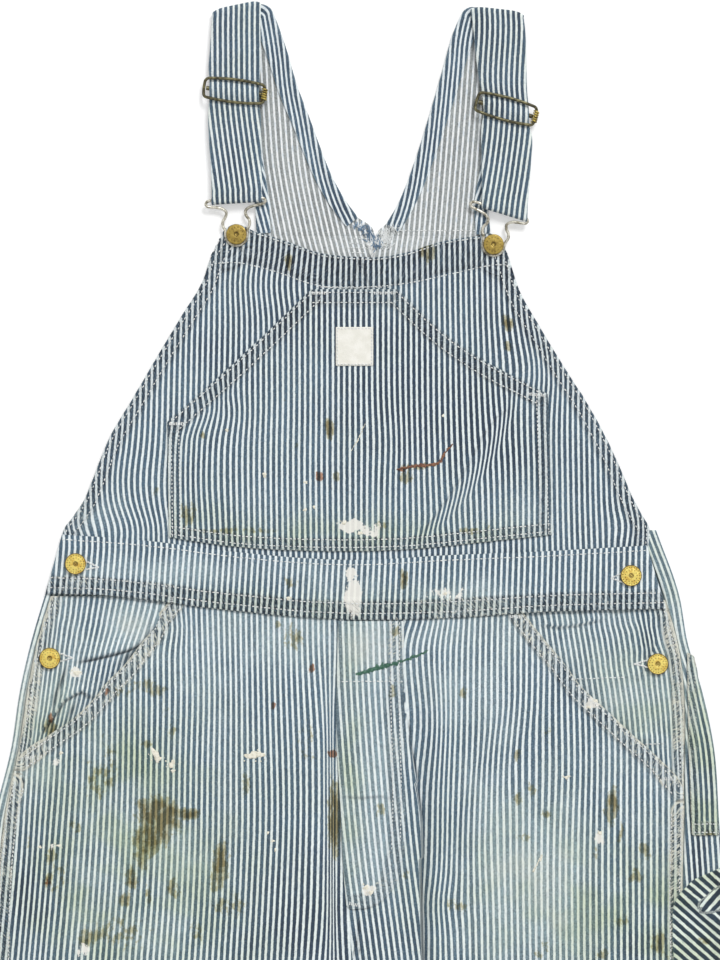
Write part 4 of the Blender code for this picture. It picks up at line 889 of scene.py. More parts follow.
def striped(name, navy, blue, faded, light, dark_share):
    """Twill with a woven stripe. It fades, soils, puckers and is stained as each piece's own numbers say;
    shade is painted in its pucker valleys, along its stitch rows and under its laps.
    """
    s = Shader(name)
    grain = s.node("UVMap", {}, uv_map="Grain").outputs["UV"]
    split = s.node("SeparateXYZ", {"Vector": grain})
    fade, soil, pucker = s.channels("Wear")[:3]
    oil, rust, paint = s.channels("Stains")[:3]
    seam = s.node("Attribute", {}, attribute_name="Seam").outputs["Vector"]
    # The shade painted under each lap's edge
    crease = s.channels("Seam")[2]

    wander = s.noise(grain, (0.9, 1.1, 1), detail=2.0)
    jag = s.noise(grain, (5.0, 6.0, 1), detail=1.0)
    across = s.add(split.outputs["X"], s.scaled(wander, 0.14, -0.07))
    across = s.add(across, s.scaled(jag, 0.10, -0.05))
    from_dark = s.math("PINGPONG", across, 0.5)
    half_dark = dark_share / 2
    white = s.ramp(from_dark, half_dark - 0.055, half_dark + 0.055)

    number = s.add(split.outputs["X"], 0.5)
    per_stripe = s.scaled(s.chance(number), 0.22, 0.89)
    yarns = s.noise(grain, (4.4, 0.65, 1), detail=2.0)
    patchy = s.noise(s.place(), (15, 15, 15), detail=3.0)
    blotch = s.noise(s.place(), (62, 46, 62), detail=3.0)
    ladder = s.noise(grain, (1.6, 2.5, 1), detail=2.0, roughness=0.65)
    crumbs = s.noise(grain, (3.4, 3.8, 1), detail=2.0, roughness=0.6)
    rope = s.noise(seam, (0.85, 2.1, 0), detail=2.0, roughness=0.6)
    row = s.math("PINGPONG", s.node("SeparateXYZ", {"Vector": seam}).outputs["Y"], 0.5)
    dashes = s.noise(seam, (0.62, 0.5, 0), detail=1.0)

    worn = s.add(fade, s.scaled(patchy, 1.3, -0.65))
    worn = s.add(worn, s.scaled(blotch, 0.9, -0.45))
    indigo = s.mix(s.ramp(worn, -0.45, 0.40), navy, blue)
    indigo = s.mix(s.ramp(worn, 0.30, 1.15), indigo, faded)
    tone = s.times(per_stripe, s.scaled(yarns, 0.7, 0.65))
    tone = s.times(tone, s.scaled(ladder, 1.3, 0.35))
    indigo = s.mix(1.0, indigo, s.node("CombineXYZ", {0: tone, 1: tone, 2: tone}).outputs[0], "MULTIPLY")
    fleck = s.ramp(crumbs, 0.52, 0.70, 0.0, 0.34)
    fleck = s.times(fleck, s.scaled(worn, 0.7, 0.55))
    indigo = s.mix(fleck, indigo, tint(186, 198, 208))
    deep = s.ramp(crumbs, 0.30, 0.46, 0.40, 0.0)
    indigo = s.mix(deep, indigo, tint(44, 56, 74))

    pale = s.mix(s.ramp(yarns, 0.30, 0.55), tint(222, 232, 240), light)
    pale = s.mix(s.ramp(ladder, 0.54, 0.70, 0.0, 0.34), pale, tint(168, 184, 192))
    cloth = s.mix(white, indigo, pale)

    dirt = s.times(soil, s.ramp(s.noise(s.place(), (38, 38, 38), detail=4.0), 0.30, 0.70, 0.35, 1.0))
    cloth = s.mix(dirt, cloth, tint(226, 231, 200), "MULTIPLY")

    dark_only = s.times(pucker, s.scaled(white, -0.8, 1.0))
    # Painted shade: the dark stripes darken in the hollows of a hem's puckers
    painted_valley_shade = s.times(dark_only, s.ramp(rope, 0.42, 0.56, 0.95, 0.2))
    cloth = s.mix(painted_valley_shade, cloth, tint(104, 110, 122), "MULTIPLY")
    # Painted shade: a thin dark line in the dark stripes along each row of stitches, where the cloth is drawn
    # in; the same mask also sinks the bump there
    stitch_dimple_and_shade = s.times(dark_only, s.ramp(row, 0.05, 0.16, 1.0, 0.0))
    stitch_dimple_and_shade = s.times(stitch_dimple_and_shade, s.ramp(dashes, 0.42, 0.60, 0.05, 0.9))
    cloth = s.mix(stitch_dimple_and_shade, cloth, tint(140, 146, 158), "MULTIPLY")
    crest = s.times(dark_only, s.ramp(rope, 0.59, 0.69, 0.0, 0.26))
    cloth = s.mix(crest, cloth, tint(226, 230, 228))
    # Painted shade: darkens the cloth along the foot of each lap's drop
    cloth = s.mix(s.times(crease, 0.92), cloth, tint(92, 96, 106), "MULTIPLY")
    uneven = s.times(pucker, s.scaled(rope, 5.0, -2.5))
    rubbed = s.times(s.ramp(s.add(worn, uneven), 1.0, 1.8, 0.0, 0.8), s.ramp(pucker, 0.0, 0.5, 0.45, 1.0))
    cloth = s.mix(rubbed, cloth, tint(232, 230, 214))

    bleed = s.scaled(s.noise(grain, (0.7, 0.42, 1), detail=7.0, roughness=0.75), 2.4, -1.2)

    def edged(amount, low, high, share):
        """A stain with a ragged edge."""
        ragged = s.times(s.ramp(s.add(amount, bleed), low, high), s.ramp(amount, 0.02, 0.12))
        return s.times(ragged, share)

    cloth = s.mix(edged(oil, 0.34, 0.56, 0.85), cloth, tint(204, 192, 156), "MULTIPLY")
    core = s.ramp(s.add(oil, bleed), 0.62, 0.92, 0.0, 0.85)
    cloth = s.mix(core, cloth, tint(180, 164, 126), "MULTIPLY")
    cloth = s.mix(edged(rust, 0.34, 0.56, 0.95), cloth, tint(186, 132, 104), "MULTIPLY")
    cloth = s.mix(edged(paint, 0.40, 0.50, 0.86), cloth, tint(246, 244, 236))

    twill = s.node("TexWave", {"Vector": grain, "Scale": 2.2, "Distortion": 0.6}, bands_direction="DIAGONAL")
    height = s.add(s.times(twill.outputs["Fac"], 0.08), s.times(crumbs, 0.20))
    height = s.add(height, s.times(s.times(pucker, rope), 2.4))
    height = s.add(height, s.times(stitch_dimple_and_shade, -0.5))
    height = s.add(height, s.times(yarns, 0.12))
    roughness = s.ramp(yarns, 0.2, 0.8, 0.78, 0.95)
    return s.finish(cloth, roughness, height, depth=0.8, sheen=0.12)


def label_cloth():
    """Bare cream tape with a fine weave, a little greyed by wear."""
    s = Shader("label tape")
    where = s.place()
    worn = s.noise(where, (140, 140, 140), detail=4.0)
    colour = s.mix(s.ramp(worn, 0.35, 0.68), tint(240, 238, 228), tint(250, 248, 240))
    smudge = s.ramp(s.noise(where, (90, 120, 90), detail=3.0), 0.58, 0.78, 0.0, 0.16)
    colour = s.mix(smudge, colour, tint(206, 200, 178))
    threads = s.noise(where, (900, 2600, 900), detail=1.0)
    return s.finish(colour, s.ramp(threads, 0.3, 0.7, 0.80, 0.95), threads, depth=0.3, sheen=0.1)


def thread(name, colour, soiled):
    """Cotton sewing thread, with two twisted plies and a little dirt."""
    s = Shader(name)
    where = s.place()
    dirt = s.noise(where, (70, 70, 70), detail=3.0)
    ply = s.node("TexWave", {"Vector": where, "Scale": 900.0, "Distortion": 1.0}, bands_direction="DIAGONAL")
    base = s.mix(s.ramp(dirt, 0.38, 0.66), soiled, colour)
    base = s.mix(s.times(ply.outputs["Fac"], 0.2), base, soiled)
    return s.finish(base, s.ramp(dirt, 0.3, 0.7, 0.7, 0.9), ply.outputs["Fac"], depth=0.3)


def metal(name, bright, tarnish, low, high, metallic=0.9):
    """Worn metal: bright where rubbed, tarnished in between, with fine scratches."""
    s = Shader(name)
    where = s.place()
    age = s.noise(where, (300, 300, 300), detail=5.0, roughness=0.6)
    fine = s.noise(where, (700, 700, 700), detail=3.0)
    colour = s.mix(s.ramp(age, low, high), bright, tarnish)
    speck = s.ramp(s.noise(where, (1100, 1100, 1100), detail=2.0), 0.58, 0.70, 0.0, 0.45)
    colour = s.mix(speck, colour, tarnish)
    roughness = s.ramp(age, 0.3, 0.7, 0.32, 0.55)
    return s.finish(colour, roughness, fine, depth=0.25, metallic=metallic)


def paint(name, colour, thin):
    """A dried film of paint, thinner and duller in places."""
    s = Shader(name)
    where = s.place()
    film = s.noise(where, (520, 520, 520), detail=3.0)
    base = s.mix(s.ramp(film, 0.42, 0.66), colour, thin)
    return s.finish(base, s.ramp(film, 0.3, 0.7, 0.45, 0.7), film, depth=0.4)


hickory = striped("hickory stripe", tint(47, 65, 86), tint(79, 104, 124), tint(138, 159, 170),
                  tint(244, 252, 254), 0.59)
bright_hickory = striped("strap stripe", tint(46, 64, 86), tint(76, 100, 122), tint(140, 160, 174),
                         tint(246, 252, 254), 0.60)
reverse = striped("hickory reverse", tint(138, 143, 144), tint(160, 165, 165), tint(184, 189, 189),
                  tint(252, 254, 254), 0.62)
label_tape = label_cloth()
pale_thread = thread("pale thread", tint(253, 254, 252), tint(226, 230, 230))
blue_thread = thread("blue yarn", tint(150, 178, 204), tint(96, 124, 152))
gold_brass = metal("stamped brass", tint(250, 228, 124), tint(216, 176, 76), 0.44, 0.68, 0.4)
stamped_gold = metal("dark of the stamped brass", tint(112, 76, 30), tint(66, 44, 22), 0.42, 0.62, 0.2)
old_brass = metal("aged brass", tint(186, 160, 78), tint(140, 116, 52), 0.42, 0.66, 0.45)
stamped_dark = metal("dark of the aged brass", tint(112, 90, 44), tint(74, 58, 32), 0.42, 0.66, 0.4)
coil_brass = metal("coil wire", tint(206, 184, 96), tint(116, 98, 48), 0.42, 0.60, 0.5)
dark_wire = metal("dark wire", tint(132, 126, 92), tint(74, 70, 52), 0.38, 0.60, 0.5)
bright_wire = metal("bright wire", tint(226, 222, 208), tint(142, 136, 118), 0.44, 0.62, 0.6)
cream_paint = paint("cream paint", tint(244, 240, 224), tint(222, 218, 200))
rust_paint = paint("rust paint", tint(112, 72, 52), tint(146, 104, 78))
green_paint = paint("green paint", tint(48, 94, 76), tint(82, 122, 104))


# ---------------------------------------------------------------- cloth helpers

cloths = {}


def placed(name, data):
    """A new object in the scene."""
    made = bpy.data.objects.new(name, data)
    bpy.context.scene.collection.objects.link(made)
    return made


def mesh_of(name, bm):
    """A finished bmesh as a mesh."""
    mesh = bpy.data.meshes.new(name)
    bm.to_mesh(mesh)
    bm.free()
    return mesh


def corners_of(mesh):
    """Where a mesh's corners are, a row for each."""
    spots = np.empty(len(mesh.vertices) * 3)
    mesh.vertices.foreach_get("co", spots)
    return spots.reshape(-1, 3)


def settled(name, holder):
    """The mesh that an object's bends or modifiers make, in place of the object."""
    bpy.context.view_layer.update()
    mesh = bpy.data.meshes.new_from_object(holder.evaluated_get(bpy.context.evaluated_depsgraph_get()))
    bpy.data.objects.remove(holder)
    mesh.name = name
    mesh.shade_smooth()
    return mesh


def hem_relief(hems, x, y):
    """How turned hems and seams raise, pucker and rub the cloth, and each point's place at the nearest.

    The place is the run along the hem, and the distance in from its edge counted in its rows of stitches."""
    relief, pucker, rubbed = np.zeros_like(x), np.zeros_like(x), np.zeros_like(x)
    run, away, least = x.copy(), y.copy(), np.full(x.shape, np.inf)
    for hem in hems:
        off, along, _ = beside(hem.line, x, y)
        inside = 1 - smooth((off - hem.width + 0.6) / HEM_STEP)
        relief = np.maximum(relief, HEM_FOLD * inside)
        pucker = np.maximum(pucker, hem.pucker * inside)
        ridges = np.exp(-((off - 0.8) / RIDGE) ** 2) + 0.8 * np.exp(-((off - hem.second) / RIDGE) ** 2)
        patchy = 0.8 + 0.4 * swell(x, y, 14.0, 9)
        rubbed = np.maximum(rubbed, hem.rub * (0.4 * inside + 0.6 * ridges) * patchy)
        closer = off / hem.width < least
        run = np.where(closer, along + PUCKER_SLANT * off, run)
        stitched = [0, hem.first, hem.second, 2 * hem.second - hem.first]
        away = np.where(closer, np.interp(off, stitched, [0, 1, 2, 3]), away)
        least = np.minimum(least, off / hem.width)
    return relief, pucker, rubbed, run, away


def panel(node, points, grain, fade, soil=0.0, hems=(), wall=CLOTH, offset=1.0, face=hickory,
          laps=(), open_top=False, edge_wear=EDGE_WEAR):
    """One cut piece of cloth: a grid on rows of points, with its weave, wear, stains and the shade painted
    under its laps, then its wall.
    """
    points = points.copy()
    x, y = points[..., 0], points[..., 1]
    rim = rims(points, open_top)
    relief, pucker, rubbed, run, away = hem_relief(hems, x, y)
    # Painted shade along the laps' edges, passed to the material in the Seam attribute's third channel
    crease = lapped(laps, x, y)[2]
    points[..., 2] += relief - ROLLED_EDGE * (1 - smooth(rim / ROLL))
    points[..., 2] += pucker * PUCKER_HEIGHT * swell(x, y, PUCKER_SIZE, 5)
    faded = fade + areas(FADE_AND_SHADE, node, x, y) + edge_wear * np.exp(-rim ** 2) + rubbed
    soiled = np.clip(soil + areas(SOILED, node, x, y), 0, 1)
    wear = np.stack((faded, soiled, pucker, np.ones_like(x)), axis=-1)
    marks = [stains(spots, node, x, y) for spots in (OIL, RUST, PAINT)]
    stained = np.stack((*marks, np.ones_like(x)), axis=-1)
    seam = np.stack((run, away, crease, np.ones_like(x)), axis=-1)

    rows, columns = points.shape[0] - 1, points.shape[1] - 1
    bm = bmesh.new()
    bmesh.ops.create_grid(bm, x_segments=columns, y_segments=rows, size=1.0)
    mesh = mesh_of(node + "_cloth", bm)
    spot = corners_of(mesh)
    column = np.rint((spot[:, 0] + 1) / 2 * columns).astype(int)
    row = np.rint((spot[:, 1] + 1) / 2 * rows).astype(int)
    mesh.vertices.foreach_set("co", ((points[row, column] + (0, WAIST, 0)) * MM).ravel())
    corner = np.empty(len(mesh.loops), int)
    mesh.loops.foreach_get("vertex_index", corner)
    mesh.uv_layers.new(name="Grain").data.foreach_set("uv", grain[row, column][corner].ravel())
    for name, values in (("Wear", wear), ("Stains", stained), ("Seam", seam)):
        layer = mesh.color_attributes.new(name=name, type="FLOAT_COLOR", domain="POINT")
        layer.data.foreach_set("color", values[row, column].ravel())
    mesh.shade_smooth()

    piece = placed(node + "_cloth", mesh)
    mesh.materials.append(face)
    thicken = piece.modifiers.new("Wall", "SOLIDIFY")
    thicken.thickness = wall * MM
    thicken.offset = offset
    cloths[node] = piece

    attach(piece, "root")
    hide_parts(node)
    return piece


# ---------------------------------------------------------------- backs

def back_leg(node, back, side):
    """A back leg lies flat, turns over at the side edge and comes back to the outseam."""
    turn, middle = LAYER / 2, CLOTH / 2
    heights = back[-1].y + spaced(back[0].y - back[-1].y, COARSE) * (back[0].y - back[-1].y)
    arc = np.radians(np.linspace(-90, 90, 7))
    sections = []
    for y in heights:
        inner, edge, seam = (float(read(back, key, y)) for key in ("inseam", "edge", "seam"))
        centre = edge - side * (turn + middle)
        flat = inner + spaced(BACK_WIDTH, COARSE) * (centre - inner)
        over = centre + np.linspace(0, 1, 14)[1:] * (seam - centre)
        xs = np.concatenate((flat[:-1], centre + side * turn * np.cos(arc), over))
        zs = np.concatenate((np.full(len(flat) - 1, middle), middle + turn + turn * np.sin(arc),
                             np.full(len(over), middle + LAYER)))
        sections.append(np.stack((xs, np.full_like(xs, y), zs), axis=1))
    points = np.array(sections)
    across = walked(points, 1)
    fold = across[:, len(flat) + 2:len(flat) + 3]
    grain = np.stack(((across - fold) / LEFT_LEG_STRIPE, points[..., 1] / LEFT_LEG_STRIPE), axis=-1)
    return panel(node, points, grain, 0.55, soil=0.45, offset=0.0)


def high_back(node, outer, drifts, side):
    """The flat back panel between the waist and the shoulder-blade seam, seen from inside."""
    neck = YOKE_L_NECK if side < 0 else YOKE_R_NECK
    inner = [(side * GAP / 2, WAIST_BACK + GAP), (neck[0][0], YOKE_SEAM - GAP)]
    points = raised(sheet_between(*left_first(side, outer, inner), COARSE), 0.0)
    return panel(node, points, weave(points, YOKE_STRIPE, drifts), 0.3, face=reverse,
                 open_top=True)


def yoke(node, arm, neck, drifts, side):
    """The shoulder piece between the armhole and the neck, seen from inside."""
    points = raised(sheet_between(*left_first(side, arm, neck), FINE), 0.0)
    return panel(node, points, weave(points, YOKE_STRIPE, drifts), 0.2, hems=[Hem(arm, 9, 0.3)], face=reverse)


def edge_strip(node, edge, widths, inward):
    """A narrow strip sewn along an edge, on the inside of the yoke."""
    line = follow(edge, spaced(reach(edge), FINE))
    side = leftward(line) * inward
    width = np.linspace(*widths, len(line))
    across = spaced(widths[1], CLOSE, edge=(0.5,))
    flat = line[:, None] + side[:, None] * (across[None] * width[:, None])[..., None]
    if inward > 0:
        flat = flat[:, ::-1]
    points = raised(flat, LAYER)
    grain = weave_along(points, STRIP_STRIPE, from_right=inward > 0, lean=STRIP_LEAN)
    return panel(node, points, grain + (0.5, 0), 0.1, hems=[Hem(edge, 4, 0.3)])


# ---------------------------------------------------------------- front

def leg_level(y):
    """Height of a front leg's underside: over the pocket facing near the waist, lower below it."""
    return LAYER * (1.0 + eased(y, *LEG_CLIMB))


def outseam(back, side, low, high):
    """Points just inboard of the outseam, for the front pieces that run beside it."""
    heights = np.linspace(low, high, max(3, round((high - low) / 20)) + 1)
    return [(float(read(back, "seam", y)) - side * SEAM_GAP, float(y)) for y in heights]


def leg_seams(back, opening, side):
    """A front leg's outseam and inseam, each from the hem up."""
    outer = outseam(back, side, HEM, opening[0][1] - SEAM_TOP)
    return outer, [(row.inseam, row.y) for row in reversed(back) if row.y <= CROTCH]


def front_leg(node, back, opening, puff, folds, laps, drifts, tugs, pitch, fade, side):
    """From the pocket opening and outseam to the front rise and inseam."""
    seam, inseam = leg_seams(back, opening, side)
    outer = seam + opening
    length = reach(outer)
    low = np.linspace(0, SHOWN_SHARE, round(SHOWN_SHARE * length / COARSE))[:-1]
    high = np.linspace(SHOWN_SHARE, 1, round((1 - SHOWN_SHARE) * length / FINE))
    v = np.unique(np.round(np.concatenate((low, high, [0.5 / length, 1.3 / length])), 6))
    u = spaced(LEG_WIDTH, ACROSS)
    rise = [(x + side * GAP / 2, y) for x, y in FRONT_RISE]
    left, right = left_first(side, follow(outer, v), follow(inseam + rise[::-1], v))
    flat = patch(follow([left[0], right[0]], u), follow([left[-1], right[-1]], u), left, right, u, v)
    x, y = flat[..., 0], flat[..., 1]
    beside_fly = np.where(y > CROTCH, (np.abs(x - FLY_CENTRE) - FLY_HALF) / FLY_CLEAR, 1.0)
    clear = eased(y, *LEG_HEAD) * smooth(beside_fly)
    height = leg_level(y) + puff_height(puff, x, y) + fold_height(folds, x, y) * clear
    height += waves(x, y, LEG_WAVES, 11 + side) * clear * smooth(rims(raised(flat, 0)) / WAVES_IN)
    height += lapped(laps, x, y)[0]
    points = raised(flat, height)
    hems = [Hem(opening, 10.5, 0.85, rub=0.9), Hem(seam, 10, 0.95, rub=1.6), Hem(inseam[:-1], 9, 0.5, 2, 8),
            Hem([left[0], right[0]], 16, 0.6, 3, 14)]
    grain = weave(points, pitch, drifts, folds, tugs)
    for lap in laps[:1]:
        above = eased(y, *FLY_LAP_ENDS)
        inside = (beside(lap.line, x, y)[2] > 0) * above
        grain += inside[..., None] * (weave(points, FLY_STRIPE, FLY_DRIFT) - grain)
    return panel(node, points, grain, fade, soil=0.18, hems=hems, laps=laps)


def bib_level(x, y):
    """Height of the bib's underside: on the back at the top, over more layers at the waist."""
    corner = smooth((np.abs(x) - BIB_CORNER + END_FALL) / END_FALL) * eased(y, *CORNER_CLIMB)
    base = LAYER * (1.0 + eased(y, *BIB_CLIMB) * (1 - corner))
    clear = eased(y, *BIB_FOOT) * eased(y, *BIB_HEAD)
    return base + (fold_height(BIB_FOLDS, x, y) + waves(x, y, BIB_WAVES, 3)) * clear


def bib():
    """The bib, with its turned top and side hems."""
    flat = sheet_between(BIB_LEFT, BIB_RIGHT, ACROSS, bottom=BIB_BOTTOM, top=BIB_TOP)
    x, y = flat[..., 0], flat[..., 1]
    points = raised(flat, bib_level(x, y) + fold_height(BIB_SIDE_FOLDS, x, y))
    hems = [Hem(BIB_TOP, 22, 0.8, 1.5, 21), Hem(BIB_LEFT, 10, 0.75, 2, 8), Hem(BIB_RIGHT, 10, 0.75, 2, 8),
            Hem([(0, 235), (0, 256)], 7, 0.9, 2, 5)]
    grain = weave(points, BIB_STRIPE, BIB_DRIFT, BIB_SIDE_FOLDS, BIB_TUGS + CORNER_TUGS)
    return panel("bib", points, grain, 0.1, soil=0.12, hems=hems)


def pocket_top_line():
    """The pocket's two slants and the short level edge between them."""
    ends = np.linspace(0, 1, 30)
    slant_r = follow(POCKET_SLANT_R, ends)
    return np.concatenate((follow(POCKET_SLANT_L, ends), POCKET_TOP[1:], slant_r[1:]))


def bib_pocket():
    """Six-sided: two slants either side of a short top, straight sides and a bowed bottom."""
    top_line = pocket_top_line()
    along = np.concatenate(([0.0], np.cumsum(spans(top_line))))
    u = spaced(along[-1], FINE)
    top = np.stack([np.interp(u * along[-1], along, top_line[:, k]) for k in (0, 1)], axis=1)
    bottom = follow(POCKET_BOTTOM, u)
    v = spaced(POCKET_HEIGHT, FINE)
    flat = patch(bottom, top, follow([bottom[0], top[0]], v), follow([bottom[-1], top[-1]], v), u, v)
    x, y = flat[..., 0], flat[..., 1]
    folds = np.maximum(fold_height(POCKET_FOLDS, x, y), lapped(POCKET_LAPS, x, y)[0])
    points = raised(flat, bib_level(x, y) + LAYER + folds)
    hems = [Hem(POCKET_TOP, 11, 0.8, 2.2, 9.5), Hem(POCKET_SLANT_L, 10.5, 0.8, 1.6, 9.5),
            Hem(POCKET_SLANT_R, 10.5, 0.8, 1.6, 9.5), Hem([bottom[0], top[0]], 9, 0.6, 2.5, 8),
            Hem([bottom[-1], top[-1]], 9, 0.6, 2.5, 8), Hem(POCKET_BOTTOM, 9, 0.7, 2.5, 8)]
    grain = weave(points, POCKET_STRIPE, POCKET_DRIFT, POCKET_FOLDS, POCKET_TUGS, POCKET_START, POCKET_LAPS)
    return panel("bib_pocket", points, grain, 0.1, soil=0.18, hems=hems, laps=POCKET_LAPS)


def bib_label():
    """A bare tab on the bib pocket."""
    (x0, y0), (x1, y1) = LABEL
    flat = sheet_between([(x0, y0), (x0, y1)], [(x1, y0), (x1, y1)], 1.5)
    x, y = flat[..., 0], flat[..., 1]
    points = raised(flat, bib_level(x, y) + 2 * LAYER)
    return panel("bib_label", points, flat / BIB_STRIPE, 0.2, wall=LABEL_TAPE,
                 face=label_tape)


def waistband():
    """The front band, over the foot of the bib and the tops of the front legs."""
    ends = [BAND_BOTTOM[0], BAND_TOP[0]], [BAND_BOTTOM[-1], BAND_TOP[-1]]
    flat = sheet_between(*ends, FINE, bottom=BAND_BOTTOM, top=BAND_TOP)
    x, y = flat[..., 0], flat[..., 1]
    from_end = np.minimum(x - x[:, :1], x[:, -1:] - x)
    level = BAND_LAYERS - BAND_END * (1 - smooth(from_end / END_FALL))
    points = raised(flat, level * LAYER + waves(x, y, BAND_WAVES, 8))
    hems = [Hem(BAND_BOTTOM, 13.5, 0.95, 4.4, 11.5)]
    return panel("waistband", points, weave(points, BAND_STRIPE, BAND_DRIFT), 0.2, soil=0.1,
                 hems=hems, open_top=True, edge_wear=0.3)


def side_facing(node, back, inner, folds, laps, drifts, fade, side):
    """The piece behind a hip-pocket opening; its slack sags in folds where it shows."""
    outer = outseam(back, side, inner[0][1], inner[-1][1])
    flat = sheet_between(*left_first(side, outer, inner), CLOSE)
    x, y = flat[..., 0], flat[..., 1]
    points = raised(flat, LAYER + np.maximum(fold_height(folds, x, y), lapped(laps, x, y)[0]))
    hems = [Hem(outer, 8, 0.8, rub=1.2)]
    grain = weave(points, FACING_STRIPE, drifts, folds, laps=laps)
    return panel(node, points, grain, fade, soil=0.2, hems=hems, laps=laps)


def fly_front():
    """The J-shaped front of the fly."""
    flat = sheet_between(FLY_LEFT, FLY_RIGHT, CLOSE)
    x, y = flat[..., 0], flat[..., 1]
    points = raised(flat, leg_level(y) + LAYER + waves(x, y, FLY_WAVES, 21))
    hems = [Hem(FLY_RIGHT, 11, 0.5, 3, 9), Hem(FLY_LEFT, 3, 0.3)]
    return panel("fly_front", points, weave(points, FLY_STRIPE, FLY_DRIFT), 0.6, soil=0.15, hems=hems,
                 wall=FLY_WALL, laps=FLY_LAPS, edge_wear=0.1)


def side_panel(node, inner, outer, folds, lean, fade, hems):
    """The rule pocket or the hammer loop, on the back leg's turned-over edge."""
    flat = sheet_between(inner, outer, CLOSE)
    x, y = flat[..., 0], flat[..., 1]
    points = raised(flat, 2 * LAYER + fold_height(folds, x, y))
    if lean is None:
        grain = weave_along(points, BIB_STRIPE, from_right=True)
    else:
        turn = np.where(fold_height(folds[1:], x, y) > LOOP_RETURN_RISE, LOOP_RETURN_LEAN, lean)
        grain = np.stack(((x * np.cos(turn) + y * np.sin(turn)) / LOOP_STRIPE,
                          (y * np.cos(turn) - x * np.sin(turn)) / LOOP_STRIPE), axis=-1)
    return panel(node, points, grain, fade, soil=0.9, hems=hems)


# ---------------------------------------------------------------- straps and hardware

def bar_place(knob, tilt):
    """Where the middle of a hook's bar lies."""
    return (knob.x - HOOK_BAR_RISE * math.sin(tilt), knob.y + HOOK_BAR_RISE * math.cos(tilt))


def strap(node, rows, knob, tilt, sway):
    """From the seam behind the shoulder, over the fold, down the front, round the hook bar and back."""
    first, last = rows[0], rows[-1]
    bar_x, bar_y = bar_place(knob, tilt)
    bar_x = 0.25 * bar_x + 0.75 * last.x
    middle = STRAP_CLOTH / 2
    turn = (first.z - middle) / 2
    path = [(first.y - STRAP_HIDDEN, middle, first.x, first.half, first.slope)]
    for angle in np.radians(np.linspace(-90, 90, 9)):
        path.append((first.y + turn * math.cos(angle), middle + turn + turn * math.sin(angle),
                     first.x, first.half, first.slope))
    for y in np.linspace(first.y, last.y, round((first.y - last.y) / STRAP_STEP))[1:]:
        path.append((y, *(float(read(rows, key, y)) for key in ("z", "x", "half", "slope"))))
    for angle in np.radians(np.linspace(75, -90, 10)):
        path.append((bar_y - STRAP_TURN * math.cos(angle), STRAP_HOOK_Z + STRAP_TURN * math.sin(angle),
                     bar_x, last.half, math.tan(tilt)))
    slide = next(row for row in rows if row.name == "over bar")
    for t in np.linspace(0.1, 1.0, 16):
        path.append((bar_y + t * (slide.y - STRAP_RETURN_END - bar_y), STRAP_RETURN_Z,
                     bar_x + t * (slide.x - bar_x), last.half,
                     math.tan(tilt) + t * (slide.slope - math.tan(tilt))))
    across = 2 * spaced(STRAP_WIDTH, STRAP_STEP) - 1
    points = np.array([[(x + u * half, y + u * half * slope, z) for u in across]
                       for y, z, x, half, slope in path])
    on_top = np.array([[z > first.z - 0.1 for u in across] for y, z, x, half, slope in path])
    points[..., 2] -= np.where(on_top, STRAP_DROOP * np.abs(across)[None] ** 4, 0)
    near_fold = smooth((points[..., 1] - first.y + 12) / 12)
    points[..., 1] -= STRAP_DRAW * near_fold * np.abs(across)[None] ** 6
    along = np.pad(np.cumsum(spans(points[:, len(across) // 2])), (1, 0))
    stray = read(sway, "shift", along)
    half = np.array([[row[3]] for row in path])
    grain = np.stack(np.broadcast_arrays((across[None] * half - stray[:, None]) / STRAP_STRIPE,
                                         along[:, None] / STRAP_STRIPE), axis=-1)
    return panel(node, points, grain, 0.12, soil=0.3, wall=STRAP_CLOTH, offset=0.0, face=bright_hickory)


HOOK_HALF = [(0, 25.5), (12, 25.5), (18.4, 25.5), (20.8, 24.8), (21.8, 23.2), (20.8, 21.6), (18.2, 20.9),
             (13.4, 20.2), (9.2, 18.8), (6.9, 16.4), (7.6, 13.2), (9.6, 10.2), (9.8, 7), (8.2, 3.4),
             (7.6, -1.5), (6.2, -5.0), (3.4, -7.2)]
HOOK_CLIMB = (15, 25)  # between these heights above its eye, a hook's wire climbs to its bar


def add_piece(name, mesh, material, nodes=()):
    """A finished mesh as a piece of the garment."""
    piece = placed(name, mesh)
    mesh.materials.append(material)
    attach(piece, "root")
    if nodes:
        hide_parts(*nodes)
    return piece


def bent_wire(name, path, shut, radius, material, nodes=()):
    """Round wire bent through points given in millimetres, smoothed and made a mesh."""
    curve = bpy.data.curves.new(name, "CURVE")
    curve.dimensions = "3D"
    curve.bevel_depth = radius * MM
    curve.bevel_resolution = 3
    curve.use_fill_caps = True
    spline = curve.splines.new("POLY")
    spline.points.add(len(path) - 1)
    for spot, (x, y, z) in zip(spline.points, path):
        spot.co = (x * MM, (y + WAIST) * MM, z * MM, 1.0)
    spline.use_cyclic_u = shut
    mesh = settled(name, placed(name + "_bend", curve))
    bpy.data.curves.remove(curve)
    mesh.materials.clear()
    return add_piece(name, mesh, material, nodes)


def turned_point(point, centre, tilt):
    """A point of a fitting's own drawing, turned and put in its place."""
    x, y, z = point
    c, s = math.cos(tilt), math.sin(tilt)
    return (centre[0] + x * c - y * s, centre[1] + x * s + y * c, z)


def rounded(points, cells):
    """A smooth closed line through the points of a bend."""
    return follow([*points, points[0]], np.linspace(0, 1, cells + 1))[:-1]


def hook(node, knob, tilt, skew):
    """One bent wire: the bar in the strap's end, two ears, and the eye round the bib button."""
    outline = HOOK_HALF + [(0, -8.0)] + [(-x, y) for x, y in reversed(HOOK_HALF[1:])]
    climb = STRAP_HOOK_Z - HOOK_EYE_Z
    path = [(x + skew * max(y, 0), y, HOOK_EYE_Z + climb * float(eased(y, *HOOK_CLIMB))) for x, y in outline]
    path = [turned_point(point, (knob.x, knob.y), tilt) for point in rounded(path, 120)]
    return bent_wire(node + "_wire", path, True, WIRE, bright_wire, [node])


